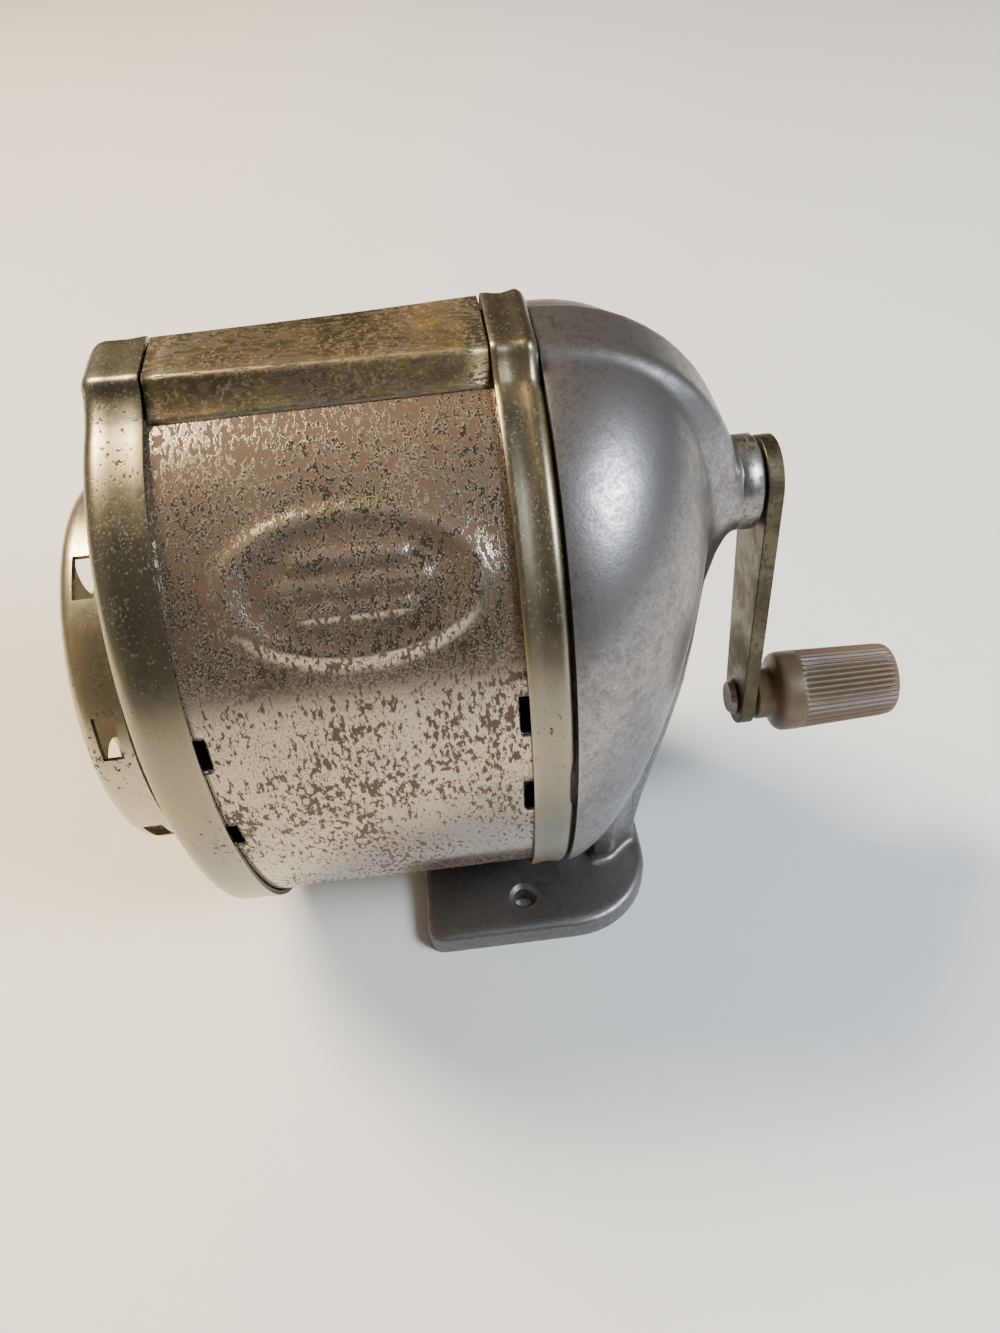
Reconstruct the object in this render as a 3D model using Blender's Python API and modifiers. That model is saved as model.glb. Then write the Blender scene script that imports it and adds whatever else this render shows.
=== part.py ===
"""Crank pencil sharpener on a screw-down foot.

Blender 4.5 script, metres, +Z up. The spindle runs along X: the pencil goes in
at -X, the crank is at +X. The origin is on the underside of the foot, below the
spindle, in the plane of the front edge of the chip drum's rear band.
"""

import math

import bmesh
import bpy
from mathutils import Matrix, Vector

MM = 0.001
GAP = 0.3 * MM

# Chip drum: an egg-shaped section, taller than wide, with a raised channel on top
DRUM_CENTRE_Z = 60.2 * MM
DRUM_RADIUS = 37.4 * MM
DRUM_UPPER_HEIGHT = 43.3 * MM
DRUM_LOWER_HEIGHT = 53.4 * MM
DRUM_FRONT_X = -42.9 * MM
SHEET_THICKNESS = 0.6 * MM
SHEET_LAP = 1.7 * MM
SHEET_EDGE_HALF_GAP = 7.0 * MM
BAND_OUTSET = 1.1 * MM
BAND_THICKNESS = 0.8 * MM
RIDGE_TOP_Z = 106.7 * MM
RIDGE_FRONT_HALF = 5.6 * MM
RIDGE_REAR_HALF = 7.3 * MM
RIDGE_FOOT_HALF = 8.3 * MM
RIDGE_CORNER = 1.2 * MM
RIDGE_BAND_OUTSET = 0.3 * MM
CHANNEL_JOGGLE = 1.3 * MM
CAP_DEPTH = 8.0 * MM
CAP_FRONT_X = DRUM_FRONT_X - CAP_DEPTH
BAND_LENGTH = 5.9 * MM

# Housing casting
MOUTH_X = BAND_LENGTH + GAP
DOME_DEPTH = 24.8 * MM
DOME_POWER = 1.72
WALL = 2.5 * MM
SPINDLE_Z = 77.3 * MM
BOSS_RADIUS = 7.0 * MM
BOSS_END_X = 38.6 * MM
SPINE_HALF = 7.0 * MM
SPINE_REAR_X = 35.1 * MM
SPINE_TOP_Z = 105.2 * MM
LIP_OUTSET = -0.9 * MM
LIP_THICKNESS = 2.0 * MM
LIP_FRONT_X = 2.2 * MM
FOOT_THICKNESS = 4.5 * MM
FOOT_FRONT_X = -20.0 * MM
FOOT_REAR_X = 23.6 * MM
FOOT_HALF_WIDTH = 31.0 * MM
FOOT_FRONT_CORNER = 3.0 * MM
FOOT_REAR_CORNER = 15.5 * MM
FOOT_HOLE_RADIUS = 1.9 * MM
FOOT_SINK_RADIUS = 2.9 * MM
FOOT_SIDE_HOLE = (-1.1 * MM, 23.4 * MM)
FOOT_FRONT_HOLE_X = -14.5 * MM

# Rear leg sections from the foot up, in mm: height, front x, rear x, half width
LEG_ROWS = ((3.0, 8.0, 22.3, 15.0), (8.0, 8.0, 22.9, 14.0), (13.0, 8.0, 24.1, 12.8),
            (20.0, 8.0, 26.2, 11.0), (33.0, 12.0, 29.9, 8.4), (50.0, 18.0, 32.0, 7.2),
            (66.0, 19.0, 32.4, 7.0), (80.0, 20.0, 32.6, 7.0))

# Planetary cutter head
CONE_ANGLE = math.radians(10.5)
RING_TEETH = 26
PINION_TEETH = 12
PINION_OFFSET = 5.78 * MM
PINION_PITCH_RADIUS = PINION_OFFSET / (RING_TEETH / PINION_TEETH - math.cos(CONE_ANGLE))
RING_PITCH_RADIUS = PINION_PITCH_RADIUS * RING_TEETH / PINION_TEETH
PINION_WIDTH = 3.0 * MM
RING_WIDTH = 4.6 * MM
RING_CENTRE_X = PINION_PITCH_RADIUS * math.sin(CONE_ANGLE)
RING_OUTER_RADIUS = 15.0 * MM
SLEEVE_OUTER_RADIUS = 17.8 * MM
SLEEVE_INNER_RADIUS = 12.9 * MM
SLEEVE_REAR_X = 19.5 * MM
CUTTER_RADIUS = 6.5 * MM
CUTTER_FRONT_S = -30.0 * MM
CUTTER_REAR_S = -5.8 * MM
CUTTER_BLADES = 9
NECK_RADIUS = 3.5 * MM
AXLE_RADIUS = 1.5 * MM
AXLE_FRONT_S = -34.9 * MM
AXLE_REAR_S = 7.4 * MM
SHAFT_RADIUS = 3.5 * MM
WEB_FRONT_X = 17.0 * MM
CARRIER_PLATE_X = (-34.4 * MM, -31.6 * MM)
CARRIER_PLATE_RADIUS = 15.5 * MM
CARRIER_DISC_X = (4.5 * MM, 8.0 * MM)
CARRIER_DISC_RADIUS = 9.5 * MM
CARRIER_HUB_END_X = 15.5 * MM
GUIDE_BORE_RADIUS = 4.9 * MM
GUIDE_OUTER_RADIUS = 6.0 * MM

# Crank
ARM_INNER_X = 39.1 * MM
ARM_THICKNESS = 2.4 * MM
ARM_LENGTH = 40.1 * MM
ARM_HUB_RADIUS = 6.6 * MM
ARM_END_RADIUS = 4.8 * MM
CRANK_REST_ANGLE = math.radians(-12.2)
GRIP_START_X = ARM_INNER_X + ARM_THICKNESS + 0.8 * MM
GRIP_LENGTH = 24.0 * MM
GRIP_COLLAR_RADIUS = 6.95 * MM
GRIP_END_RADIUS = 6.3 * MM

# Pencil size dial
DIAL_CENTRE_Z = 55.5 * MM
DIAL_FRONT_X = -61.7 * MM
DIAL_RADIUS = 29.4 * MM
DIAL_SHEET = 0.8 * MM
DIAL_RIM_DEPTH = 7.0 * MM
DIAL_WINDOW = (3.0 * MM, 6.8 * MM, 4.0 * MM)
DIAL_WINDOW_X = DIAL_FRONT_X + 4.0 * MM
DIAL_HOLES = 8
HOLE_CIRCLE = SPINDLE_Z - DIAL_CENTRE_Z
DIAL_HOLE_RADII = [(5.4 - 0.25 * step) * MM for step in range(DIAL_HOLES)]

ALONG_X = (0.0, math.pi / 2, 0.0)
FACING_X = (math.pi / 2, 0.0, math.pi / 2)
ROUND_STEPS = 40

COLOURS = {
    "hammered_grey": ((0.42, 0.41, 0.41), 0.80, 0.38),
    "nickel": ((0.60, 0.57, 0.48), 0.95, 0.35),
    "peppered_nickel": ((0.50, 0.44, 0.38), 0.90, 0.42),
    "tool_steel": ((0.45, 0.45, 0.46), 1.00, 0.35),
    "old_steel": ((0.42, 0.38, 0.31), 0.95, 0.45),
    "bronze": ((0.55, 0.36, 0.18), 1.00, 0.40),
    "brown_plastic": ((0.22, 0.13, 0.07), 0.00, 0.42),
}


def clear_scene():
    """Remove every object that the file opened with."""
    for item in list(bpy.data.objects):
        bpy.data.objects.remove(item, do_unlink=True)


def make_collection(name):
    """Return a new collection linked to the scene."""
    group = bpy.data.collections.new(name)
    bpy.context.scene.collection.children.link(group)
    return group


clear_scene()
PARTS = make_collection("pencil_sharpener")
TOOLS = make_collection("shaping_solids")
MATERIALS = {}


def material(name):
    """Return the named Principled material, made on first use."""
    if name not in MATERIALS:
        colour, metallic, roughness = COLOURS[name]
        made = bpy.data.materials.new(name)
        made.use_nodes = True
        shader = made.node_tree.nodes["Principled BSDF"]
        shader.inputs["Base Color"].default_value = (*colour, 1.0)
        shader.inputs["Metallic"].default_value = metallic
        shader.inputs["Roughness"].default_value = roughness
        MATERIALS[name] = made
    return MATERIALS[name]


def add_object(name, data, finish=None, parent=None):
    """Link data as a part with a finish, or as a shaping solid without one."""
    item = bpy.data.objects.new(name, data)
    if finish:
        PARTS.objects.link(item)
        own = material(finish).copy()
        own.name = name + "_finish"
        data.materials.append(own)
    else:
        TOOLS.objects.link(item)
        item.hide_render = True
        item.display_type = "WIRE"
    item.parent = parent
    return item


def place(item, location=(0, 0, 0), rotation=(0, 0, 0)):
    """Set an object's location and rotation and return it."""
    item.location = location
    item.rotation_euler = rotation
    return item


def smooth(item, angle=math.radians(35)):
    """Shade a mesh object smooth with sharp edges kept."""
    item.data.shade_smooth()
    item.data.set_sharp_from_angle(angle=angle)
    return item


def boolean(item, tool, operation="DIFFERENCE"):
    """Add an exact Boolean of one shaping solid."""
    step = item.modifiers.new(tool.name, "BOOLEAN")
    step.operation = operation
    step.solver = "EXACT"
    step.object = tool
    return item


def turned(name, profile, finish=None, parent=None, steps=ROUND_STEPS, ring=True):
    """Turn a profile of (radius, height) about local Z; a ring profile closes on itself."""
    shape = bmesh.new()
    points = [shape.verts.new((radius, 0.0, height)) for radius, height in profile]
    for first, second in zip(points, points[1:]):
        shape.edges.new((first, second))
    if ring:
        shape.edges.new((points[-1], points[0]))
    data = bpy.data.meshes.new(name)
    shape.to_mesh(data)
    shape.free()
    item = add_object(name, data, finish, parent)
    screw = item.modifiers.new("turn", "SCREW")
    screw.steps = steps
    screw.render_steps = steps
    screw.use_merge_vertices = True
    screw.merge_threshold = 0.00001
    screw.use_smooth_shade = True
    return item


def turned_x(name, profile, finish=None, centre_z=SPINDLE_Z, steps=ROUND_STEPS, ring=True):
    """Turn a profile of (radius, world x) about an axis along X at the given height."""
    item = turned(name, profile, finish, None, steps, ring)
    return place(item, (0, 0, centre_z), ALONG_X)


def tube_profile(inner, outer, low, high):
    """Return the closed profile of a plain tube between two heights."""
    return [(inner, high), (outer, high), (outer, low), (inner, low)]


def rod_profile(radius, low, high):
    """Return the open profile of a plain rod between two heights."""
    return [(0.0, high), (radius, high), (radius, low), (0.0, low)]


def cylinder(name, radius, length, centre, rotation=ALONG_X, steps=ROUND_STEPS):
    """Return a cylindrical shaping solid centred on a point."""
    shape = bmesh.new()
    bmesh.ops.create_cone(shape, cap_ends=True, segments=steps, radius1=radius,
                          radius2=radius, depth=length)
    data = bpy.data.meshes.new(name)
    shape.to_mesh(data)
    shape.free()
    return place(add_object(name, data), centre, rotation)


def block(name, size, centre, finish=None):
    """Return a box with the given size and centre."""
    shape = bmesh.new()
    bmesh.ops.create_cube(shape, size=1.0)
    bmesh.ops.scale(shape, vec=Vector(size), verts=shape.verts)
    data = bpy.data.meshes.new(name)
    shape.to_mesh(data)
    shape.free()
    return place(add_object(name, data, finish), centre)


def flat_outline(name, loops, thickness, finish=None, parent=None):
    """Return a plate: closed 2D loops filled and extruded about local Z = 0."""
    data = bpy.data.curves.new(name, "CURVE")
    data.dimensions = "2D"
    data.fill_mode = "BOTH"
    data.extrude = thickness / 2
    for loop in loops:
        spline = data.splines.new("POLY")
        spline.points.add(len(loop) - 1)
        for point, (across, up) in zip(spline.points, loop):
            point.co = (across, up, 0.0, 1.0)
        spline.use_cyclic_u = True
    return add_object(name, data, finish, parent)


def as_mesh(item):
    """Turn a curve object into a welded mesh object with the same place and finish."""
    bpy.context.view_layer.update()
    evaluated = item.evaluated_get(bpy.context.evaluated_depsgraph_get())
    data = bpy.data.meshes.new_from_object(evaluated)
    shape = bmesh.new()
    shape.from_mesh(data)
    bmesh.ops.remove_doubles(shape, verts=shape.verts, dist=0.000001)
    shape.to_mesh(data)
    shape.free()
    name = item.name
    world = item.matrix_world.copy()
    group = item.users_collection[0]
    wire = item.display_type
    bpy.data.objects.remove(item, do_unlink=True)
    solid = bpy.data.objects.new(name, data)
    group.objects.link(solid)
    solid.matrix_world = world
    solid.display_type = wire
    solid.hide_render = wire == "WIRE"
    return solid


def circle(radius, centre=(0.0, 0.0), steps=ROUND_STEPS):
    """Return the points of a circle."""
    turns = [2 * math.pi * step / steps for step in range(steps)]
    return [(centre[0] + radius * math.cos(turn), centre[1] + radius * math.sin(turn)) for turn in turns]


def arc(radius, centre, start, end, steps):
    """Return the points of an arc between two angles in degrees."""
    turns = [math.radians(start + (end - start) * step / steps) for step in range(steps + 1)]
    return [(centre[0] + radius * math.cos(turn), centre[1] + radius * math.sin(turn)) for turn in turns]


def gear_outline(teeth, root_radius, tip_radius, root_share, tip_share, phase):
    """Return a gear's outline; shares are tooth widths as parts of the tooth angle."""
    tooth_angle = 2 * math.pi / teeth
    corners = [(root_radius, -root_share), (tip_radius, -tip_share),
               (tip_radius, tip_share), (root_radius, root_share)]
    outline = []
    for tooth in range(teeth):
        for radius, share in corners:
            turn = phase + tooth_angle * (tooth + share / 2)
            outline.append((radius * math.cos(turn), radius * math.sin(turn)))
    return outline


def drum_half(outset, scale=1.0, start=0.0, steps=26):
    """Return (y, z) points of the drum's +Y half from its top round to its bottom."""
    half_width = (DRUM_RADIUS + outset) * scale
    upper = (DRUM_UPPER_HEIGHT + outset) * scale
    lower = (DRUM_LOWER_HEIGHT + outset) * scale
    first = math.pi / 2 - math.asin(min(1.0, start / half_width))
    points = []
    for step in range(steps + 1):
        turn = first - (first + math.pi / 2) * step / steps
        height = upper if turn > 0 else lower
        points.append((half_width * math.cos(turn), DRUM_CENTRE_Z + height * math.sin(turn)))
    return points


def ridge_half(outset, x):
    """Return (y, z) points of the raised channel's +Y half at x, from its centre outwards."""
    share = x / DRUM_FRONT_X
    top = RIDGE_TOP_Z + outset
    half = RIDGE_REAR_HALF + share * (RIDGE_FRONT_HALF - RIDGE_REAR_HALF) + outset
    return [(0.0, top), (half - RIDGE_CORNER, top), (half - 0.3 * RIDGE_CORNER, top - 0.3 * RIDGE_CORNER),
            (half + 0.15 * RIDGE_CORNER, top - RIDGE_CORNER)]


def band_section(outset, x):
    """Return the full closed section at x of a band that covers the drum and its channel."""
    half = ridge_half(outset - BAND_OUTSET + RIDGE_BAND_OUTSET, x)
    half += drum_half(outset, start=RIDGE_FOOT_HALF + outset)
    mirrored = [(-across, up) for across, up in reversed(half[1:-1])]
    return half + mirrored


def oval_section(outset, scale=1.0):
    """Return the full closed section of the drum without its channel."""
    half = drum_half(outset, scale)
    mirrored = [(-across, up) for across, up in reversed(half[1:-1])]
    return half + mirrored


def loft(name, stations, finish=None, closed=True, cap_first=False, cap_last=False):
    """Skin sections of (y, z) points placed at x positions, from low x to high x.

    The sections run clockwise seen from +X, so that the skin faces outwards.
    """
    shape = bmesh.new()
    rings = []
    for x, section in stations:
        rings.append([shape.verts.new((x, across, up)) for across, up in section])
    for first, second in zip(rings, rings[1:]):
        count = len(first)
        for index in range(count if closed else count - 1):
            after = (index + 1) % count
            shape.faces.new((first[index], first[after], second[after], second[index]))
    if cap_first:
        shape.faces.new(list(reversed(rings[0])))
    if cap_last:
        shape.faces.new(rings[-1])
    bmesh.ops.recalc_face_normals(shape, faces=shape.faces)
    data = bpy.data.meshes.new(name)
    shape.to_mesh(data)
    shape.free()
    return add_object(name, data, finish)


def solidify(item, thickness, offset=-1.0):
    """Give an open surface a thickness."""
    step = item.modifiers.new("thickness", "SOLIDIFY")
    step.thickness = thickness
    step.offset = offset
    step.use_even_offset = True
    return item


# ---------------------------------------------------------------- housing casting

def dome_stations(inset, front_x, levels=9):
    """Return the dome's sections from its mouth to its rear, inset from the outside."""
    depth = DOME_DEPTH - inset
    stations = [(front_x, oval_section(BAND_OUTSET - inset))]
    for level in range(levels + 1):
        turn = math.radians(82) * level / levels
        along = math.sin(turn) ** (2 / DOME_POWER)
        scale = math.cos(turn) ** (2 / DOME_POWER)
        stations.append((MOUTH_X + depth * along, oval_section(BAND_OUTSET - inset, scale)))
    if stations[1][0] - stations[0][0] < 0.1 * MM:
        stations.pop(0)
    return stations


def spine_outline():
    """Return the (x, z) outline of the rib that runs over the dome to the boss."""
    front = MOUTH_X + 1.0 * MM
    reach = SPINE_REAR_X - front
    drop = SPINE_TOP_Z - SPINDLE_Z
    crest = [(MOUTH_X, SPINE_TOP_Z)]
    for across, up in arc(1.0, (0.0, 0.0), 90, 0, 12):
        crest.append((front + reach * max(across, 0.0), SPINDLE_Z + drop * max(up, 0.0)))
    inside = MOUTH_X + DOME_DEPTH / 2
    low = SPINDLE_Z - 12 * MM
    tail = [(SPINE_REAR_X, SPINDLE_Z - 3 * MM), (SPINE_REAR_X - 1.2 * MM, SPINDLE_Z - 7 * MM),
            (SPINE_REAR_X - 2.7 * MM, low), (inside, low), (MOUTH_X, SPINDLE_Z + 6 * MM)]
    return crest + tail


def leg_stations():
    """Return the rear leg's sections, widening from the boss down to the foot."""
    stations = []
    for height, front, rear, half in LEG_ROWS:
        corners = [(front, half), (rear, half), (rear, -half), (front, -half)]
        stations.append((height * MM, [(across * MM, up * MM) for across, up in corners]))
    return stations


def foot_outline():
    """Return the foot's (x, y) outline: small front corners, large rear corners."""
    small = FOOT_FRONT_CORNER
    large = FOOT_REAR_CORNER
    rear_x = FOOT_REAR_X - large
    front_x = FOOT_FRONT_X + small
    points = arc(small, (front_x, -FOOT_HALF_WIDTH + small), 180, 270, 4)
    points += arc(large, (rear_x, -FOOT_HALF_WIDTH + large), 270, 360, 10)
    points += arc(large, (rear_x, FOOT_HALF_WIDTH - large), 0, 90, 10)
    points += arc(small, (front_x, FOOT_HALF_WIDTH - small), 90, 180, 4)
    return points


def leg_solid():
    """Return the leg as a shaping solid, skinned upwards."""
    leg = loft("leg_solid", leg_stations(), cap_first=True, cap_last=True)
    turn = Matrix(((0, 1, 0, 0), (0, 0, 1, 0), (1, 0, 0, 0), (0, 0, 0, 1)))
    leg.data.transform(turn)
    return leg


def screw_hole(name, x, y):
    """Return a countersunk screw hole's shaping solid."""
    low = -1.0 * MM
    sink = FOOT_THICKNESS - (FOOT_SINK_RADIUS - FOOT_HOLE_RADIUS)
    high = FOOT_THICKNESS + 1.0 * MM
    flare = FOOT_SINK_RADIUS + 1.0 * MM
    profile = [(0.0, high), (flare, high), (FOOT_HOLE_RADIUS, sink), (FOOT_HOLE_RADIUS, low), (0.0, low)]
    return place(turned(name, profile, steps=24, ring=False), (x, y, 0))


def build_casting():
    """Build the one-piece casting: dome, spine, leg, foot, mouth lip and gear sleeve."""
    casting = loft("housing_casting", dome_stations(0.0, MOUTH_X), "hammered_grey",
                   cap_first=True, cap_last=True)
    spine = flat_outline("spine_solid", [spine_outline()], 2 * SPINE_HALF)
    spine = as_mesh(place(spine, rotation=(math.pi / 2, 0, 0)))
    boolean(casting, spine, "UNION")
    boolean(casting, leg_solid(), "UNION")
    cavity = loft("dome_cavity", dome_stations(WALL, MOUTH_X - 1.0 * MM), cap_first=True, cap_last=True)
    boolean(casting, cavity)

    lip_front = oval_section(LIP_OUTSET)
    lip = loft("lip_solid", [(LIP_FRONT_X, lip_front), (MOUTH_X + 2 * MM, lip_front)])
    boolean(casting, solidify(lip, LIP_THICKNESS), "UNION")

    ring_rear = RING_CENTRE_X + RING_WIDTH / 2 + GAP
    ring_front = RING_CENTRE_X - RING_WIDTH / 2
    sleeve = [(5.9 * MM, BOSS_END_X), (BOSS_RADIUS, BOSS_END_X), (BOSS_RADIUS, SLEEVE_REAR_X),
              (SLEEVE_OUTER_RADIUS, SLEEVE_REAR_X), (SLEEVE_OUTER_RADIUS, ring_front),
              (RING_OUTER_RADIUS + GAP, ring_front), (RING_OUTER_RADIUS + GAP, ring_rear),
              (SLEEVE_INNER_RADIUS, ring_rear), (SLEEVE_INNER_RADIUS, WEB_FRONT_X),
              (5.9 * MM, WEB_FRONT_X)]
    cylinder_bore = cylinder("spindle_bore", 5.9 * MM, 60 * MM, (35 * MM, 0, SPINDLE_Z))
    boolean(casting, turned_x("sleeve_solid", sleeve), "UNION")
    boolean(casting, cylinder_bore)
    for side in (-1, 1):
        rib_centre = (12.0 * MM, side * 22.5 * MM, SPINDLE_Z)
        rib = block(f"rib_solid_{side}", (8.0 * MM, 11.4 * MM, 2.5 * MM), rib_centre)
        boolean(casting, rib, "UNION")

    foot = as_mesh(place(flat_outline("foot_solid", [foot_outline()], FOOT_THICKNESS),
                         (0, 0, FOOT_THICKNESS / 2)))
    boolean(casting, foot, "UNION")
    hole_x, hole_y = FOOT_SIDE_HOLE
    boolean(casting, screw_hole("foot_hole_near", hole_x, -hole_y))
    boolean(casting, screw_hole("foot_hole_far", hole_x, hole_y))
    boolean(casting, screw_hole("foot_hole_front", FOOT_FRONT_HOLE_X, 0.0))
    for side in (-1, 1):
        hole = cylinder(f"catch_hole_{side}", 1.5 * MM, 6 * MM,
                        (5.5 * MM, side * 36.0 * MM, DRUM_CENTRE_Z), (math.pi / 2, 0, 0), 16)
        boolean(casting, hole)
    smooth(casting)


def build_catches():
    """Build the two leaf springs that hold the drum, and their rivets."""
    inner_y = DRUM_RADIUS + LIP_OUTSET - LIP_THICKNESS
    leaf_y = inner_y - GAP
    for side, word in ((-1, "near"), (1, "far")):
        leaf = [(9.0 * MM, leaf_y - 0.6 * MM), (9.0 * MM, leaf_y), (1.6 * MM, leaf_y),
                (-1.0 * MM, leaf_y + 1.6 * MM), (-3.6 * MM, leaf_y + 0.2 * MM),
                (-3.6 * MM, leaf_y - 0.4 * MM), (-1.0 * MM, leaf_y + 1.0 * MM), (1.4 * MM, leaf_y - 0.6 * MM)]
        outline = [(across, side * up) for across, up in leaf]
        catch = flat_outline(f"drum_catch_{word}", [outline], 8.0 * MM, "tool_steel")
        catch = as_mesh(place(catch, (0, 0, DRUM_CENTRE_Z)))
        hole = cylinder(f"catch_leaf_hole_{word}", 1.5 * MM, 4 * MM,
                        (5.5 * MM, side * leaf_y, DRUM_CENTRE_Z), (math.pi / 2, 0, 0), 16)
        boolean(catch, hole)
        head = leaf_y - 0.6 * MM - GAP
        end = inner_y + 1.7 * MM
        profile = [(0.0, end), (1.2 * MM, end), (1.2 * MM, head), (2.6 * MM, head),
                   (2.1 * MM, head - 1.0 * MM), (0.0, head - 1.0 * MM)]
        rivet = turned(f"catch_rivet_{word}", profile, "tool_steel", steps=16, ring=False)
        place(rivet, (5.5 * MM, 0, DRUM_CENTRE_Z), (-side * math.pi / 2, 0, 0))


# ---------------------------------------------------------------- cutter head

def build_ring_gear():
    """Build the fixed ring gear with its inward teeth, a gap at the top and bottom."""
    half_tooth = math.pi / RING_TEETH
    teeth = gear_outline(RING_TEETH, RING_PITCH_RADIUS + 1.25 * MM, RING_PITCH_RADIUS - 0.55 * MM,
                         0.56, 0.20, math.pi / 2 + half_tooth)
    outer = circle(RING_OUTER_RADIUS, steps=52)
    ring = flat_outline("ring_gear", [outer, teeth], RING_WIDTH, "tool_steel")
    place(ring, (RING_CENTRE_X, 0, SPINDLE_Z), FACING_X)


def helical_blades(name, parent):
    """Build one helical milling cutter along its own axis, with a bore and a neck."""
    shape = bmesh.new()
    root = CUTTER_RADIUS - 1.4 * MM
    outline = []
    for blade in range(CUTTER_BLADES):
        for radius, share in ((root, 0.0), (CUTTER_RADIUS, 0.62), (CUTTER_RADIUS, 0.74)):
            turn = 2 * math.pi * (blade + share) / CUTTER_BLADES
            outline.append(shape.verts.new((radius * math.cos(turn), radius * math.sin(turn), CUTTER_FRONT_S)))
    face = shape.faces.new(outline)
    steps = 9
    length = CUTTER_REAR_S - CUTTER_FRONT_S
    bmesh.ops.spin(shape, geom=[face], cent=(0, 0, 0), axis=(0, 0, 1), dvec=(0, 0, length / steps),
                   angle=math.radians(75), steps=steps, use_duplicate=False)
    bmesh.ops.remove_doubles(shape, verts=shape.verts, dist=0.000001)
    bmesh.ops.recalc_face_normals(shape, faces=shape.faces)
    data = bpy.data.meshes.new(name)
    shape.to_mesh(data)
    shape.free()
    cutter = add_object(name, data, "tool_steel", parent)
    neck_top = -PINION_WIDTH / 2 - GAP
    neck = turned(name + "_neck", rod_profile(NECK_RADIUS, CUTTER_REAR_S - 1 * MM, neck_top), None, parent, 24, False)
    boolean(cutter, neck, "UNION")
    bore = turned(name + "_bore", rod_profile(AXLE_RADIUS + GAP, CUTTER_FRONT_S - 1 * MM, 2 * MM),
                  None, parent, 16, False)
    boolean(cutter, bore)


def build_planet(word, side):
    """Build one cutter, its pinion and its axle on their inclined axis."""
    axis = bpy.data.objects.new(f"cutter_axis_{word}", None)
    PARTS.objects.link(axis)
    place(axis, (0, 0, SPINDLE_Z + side * PINION_OFFSET), (0, math.pi / 2 + side * CONE_ANGLE, 0))
    helical_blades(f"cutter_{word}", axis)
    teeth = gear_outline(PINION_TEETH, PINION_PITCH_RADIUS - 0.85 * MM, PINION_PITCH_RADIUS + 0.60 * MM,
                         0.50, 0.16, 0.0)
    bore = circle(AXLE_RADIUS + GAP, steps=16)
    flat_outline(f"pinion_{word}", [teeth, bore], PINION_WIDTH, "tool_steel", axis)
    turned(f"cutter_axle_{word}", rod_profile(AXLE_RADIUS, AXLE_FRONT_S, AXLE_REAR_S), "tool_steel", axis, 16, False)


def build_carrier():
    """Build the cage that the crank turns: front plate, two bars, rear disc and hub."""
    low, high = CARRIER_PLATE_X
    carrier = turned_x("cutter_carrier", rod_profile(CARRIER_PLATE_RADIUS, low, high), "old_steel", ring=False)
    rear_low, rear_high = CARRIER_DISC_X
    rear = turned_x("carrier_rear_solid", [(0.0, CARRIER_HUB_END_X), (6.0 * MM, CARRIER_HUB_END_X),
                                           (6.0 * MM, rear_high), (CARRIER_DISC_RADIUS, rear_high),
                                           (CARRIER_DISC_RADIUS, rear_low), (0.0, rear_low)], ring=False)
    boolean(carrier, rear, "UNION")
    span = rear_low - high + 2 * MM
    for side in (-1, 1):
        centre = ((rear_low + high) / 2, side * 7.6 * MM, SPINDLE_Z)
        bar = block(f"carrier_bar_{side}", (span, 2.6 * MM, 6.2 * MM), centre)
        boolean(carrier, bar, "UNION")
    boolean(carrier, cylinder("guide_seat", GUIDE_OUTER_RADIUS + GAP, 8 * MM, (low, 0, SPINDLE_Z)))
    boolean(carrier, cylinder("shaft_seat", SHAFT_RADIUS + GAP, 12 * MM, (15.0 * MM, 0, SPINDLE_Z)))
    for side in (-1, 1):
        lean = (0, math.pi / 2 + side * CONE_ANGLE, 0)
        hole = cylinder(f"axle_hole_{side}", AXLE_RADIUS + GAP, 60 * MM,
                        (0, 0, SPINDLE_Z + side * PINION_OFFSET), lean, 16)
        hole.location += hole.rotation_euler.to_matrix() @ Vector((0, 0, AXLE_REAR_S + GAP - 30 * MM))
        boolean(carrier, hole)
    smooth(carrier)


def build_spindle():
    """Build the shaft, its washer and bushing, and the pencil guide on the carrier's nose."""
    turned_x("drive_shaft", rod_profile(SHAFT_RADIUS, 9.4 * MM, ARM_INNER_X + ARM_THICKNESS + 0.3 * MM),
             "tool_steel", ring=False)
    turned_x("thrust_washer", tube_profile(SHAFT_RADIUS + GAP, 6.8 * MM, 15.8 * MM, 16.7 * MM), "bronze", steps=32)
    turned_x("spindle_bushing", tube_profile(SHAFT_RADIUS + GAP, 5.6 * MM, WEB_FRONT_X, BOSS_END_X - GAP),
             "bronze", steps=32)
    nose = CARRIER_PLATE_X[0] - 10.6 * MM
    guide = [(GUIDE_BORE_RADIUS, CARRIER_PLATE_X[1] - 0.2 * MM), (GUIDE_OUTER_RADIUS, CARRIER_PLATE_X[1] - 0.2 * MM),
             (GUIDE_OUTER_RADIUS, CARRIER_PLATE_X[0] - GAP), (8.4 * MM, CARRIER_PLATE_X[0] - GAP),
             (8.4 * MM, CARRIER_PLATE_X[0] - 1.8 * MM), (GUIDE_OUTER_RADIUS, CARRIER_PLATE_X[0] - 1.8 * MM),
             (GUIDE_OUTER_RADIUS, nose), (GUIDE_BORE_RADIUS + 0.6 * MM, nose),
             (GUIDE_BORE_RADIUS, nose + 1.2 * MM)]
    turned_x("pencil_guide", guide, "bronze")


# ---------------------------------------------------------------- crank

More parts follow.
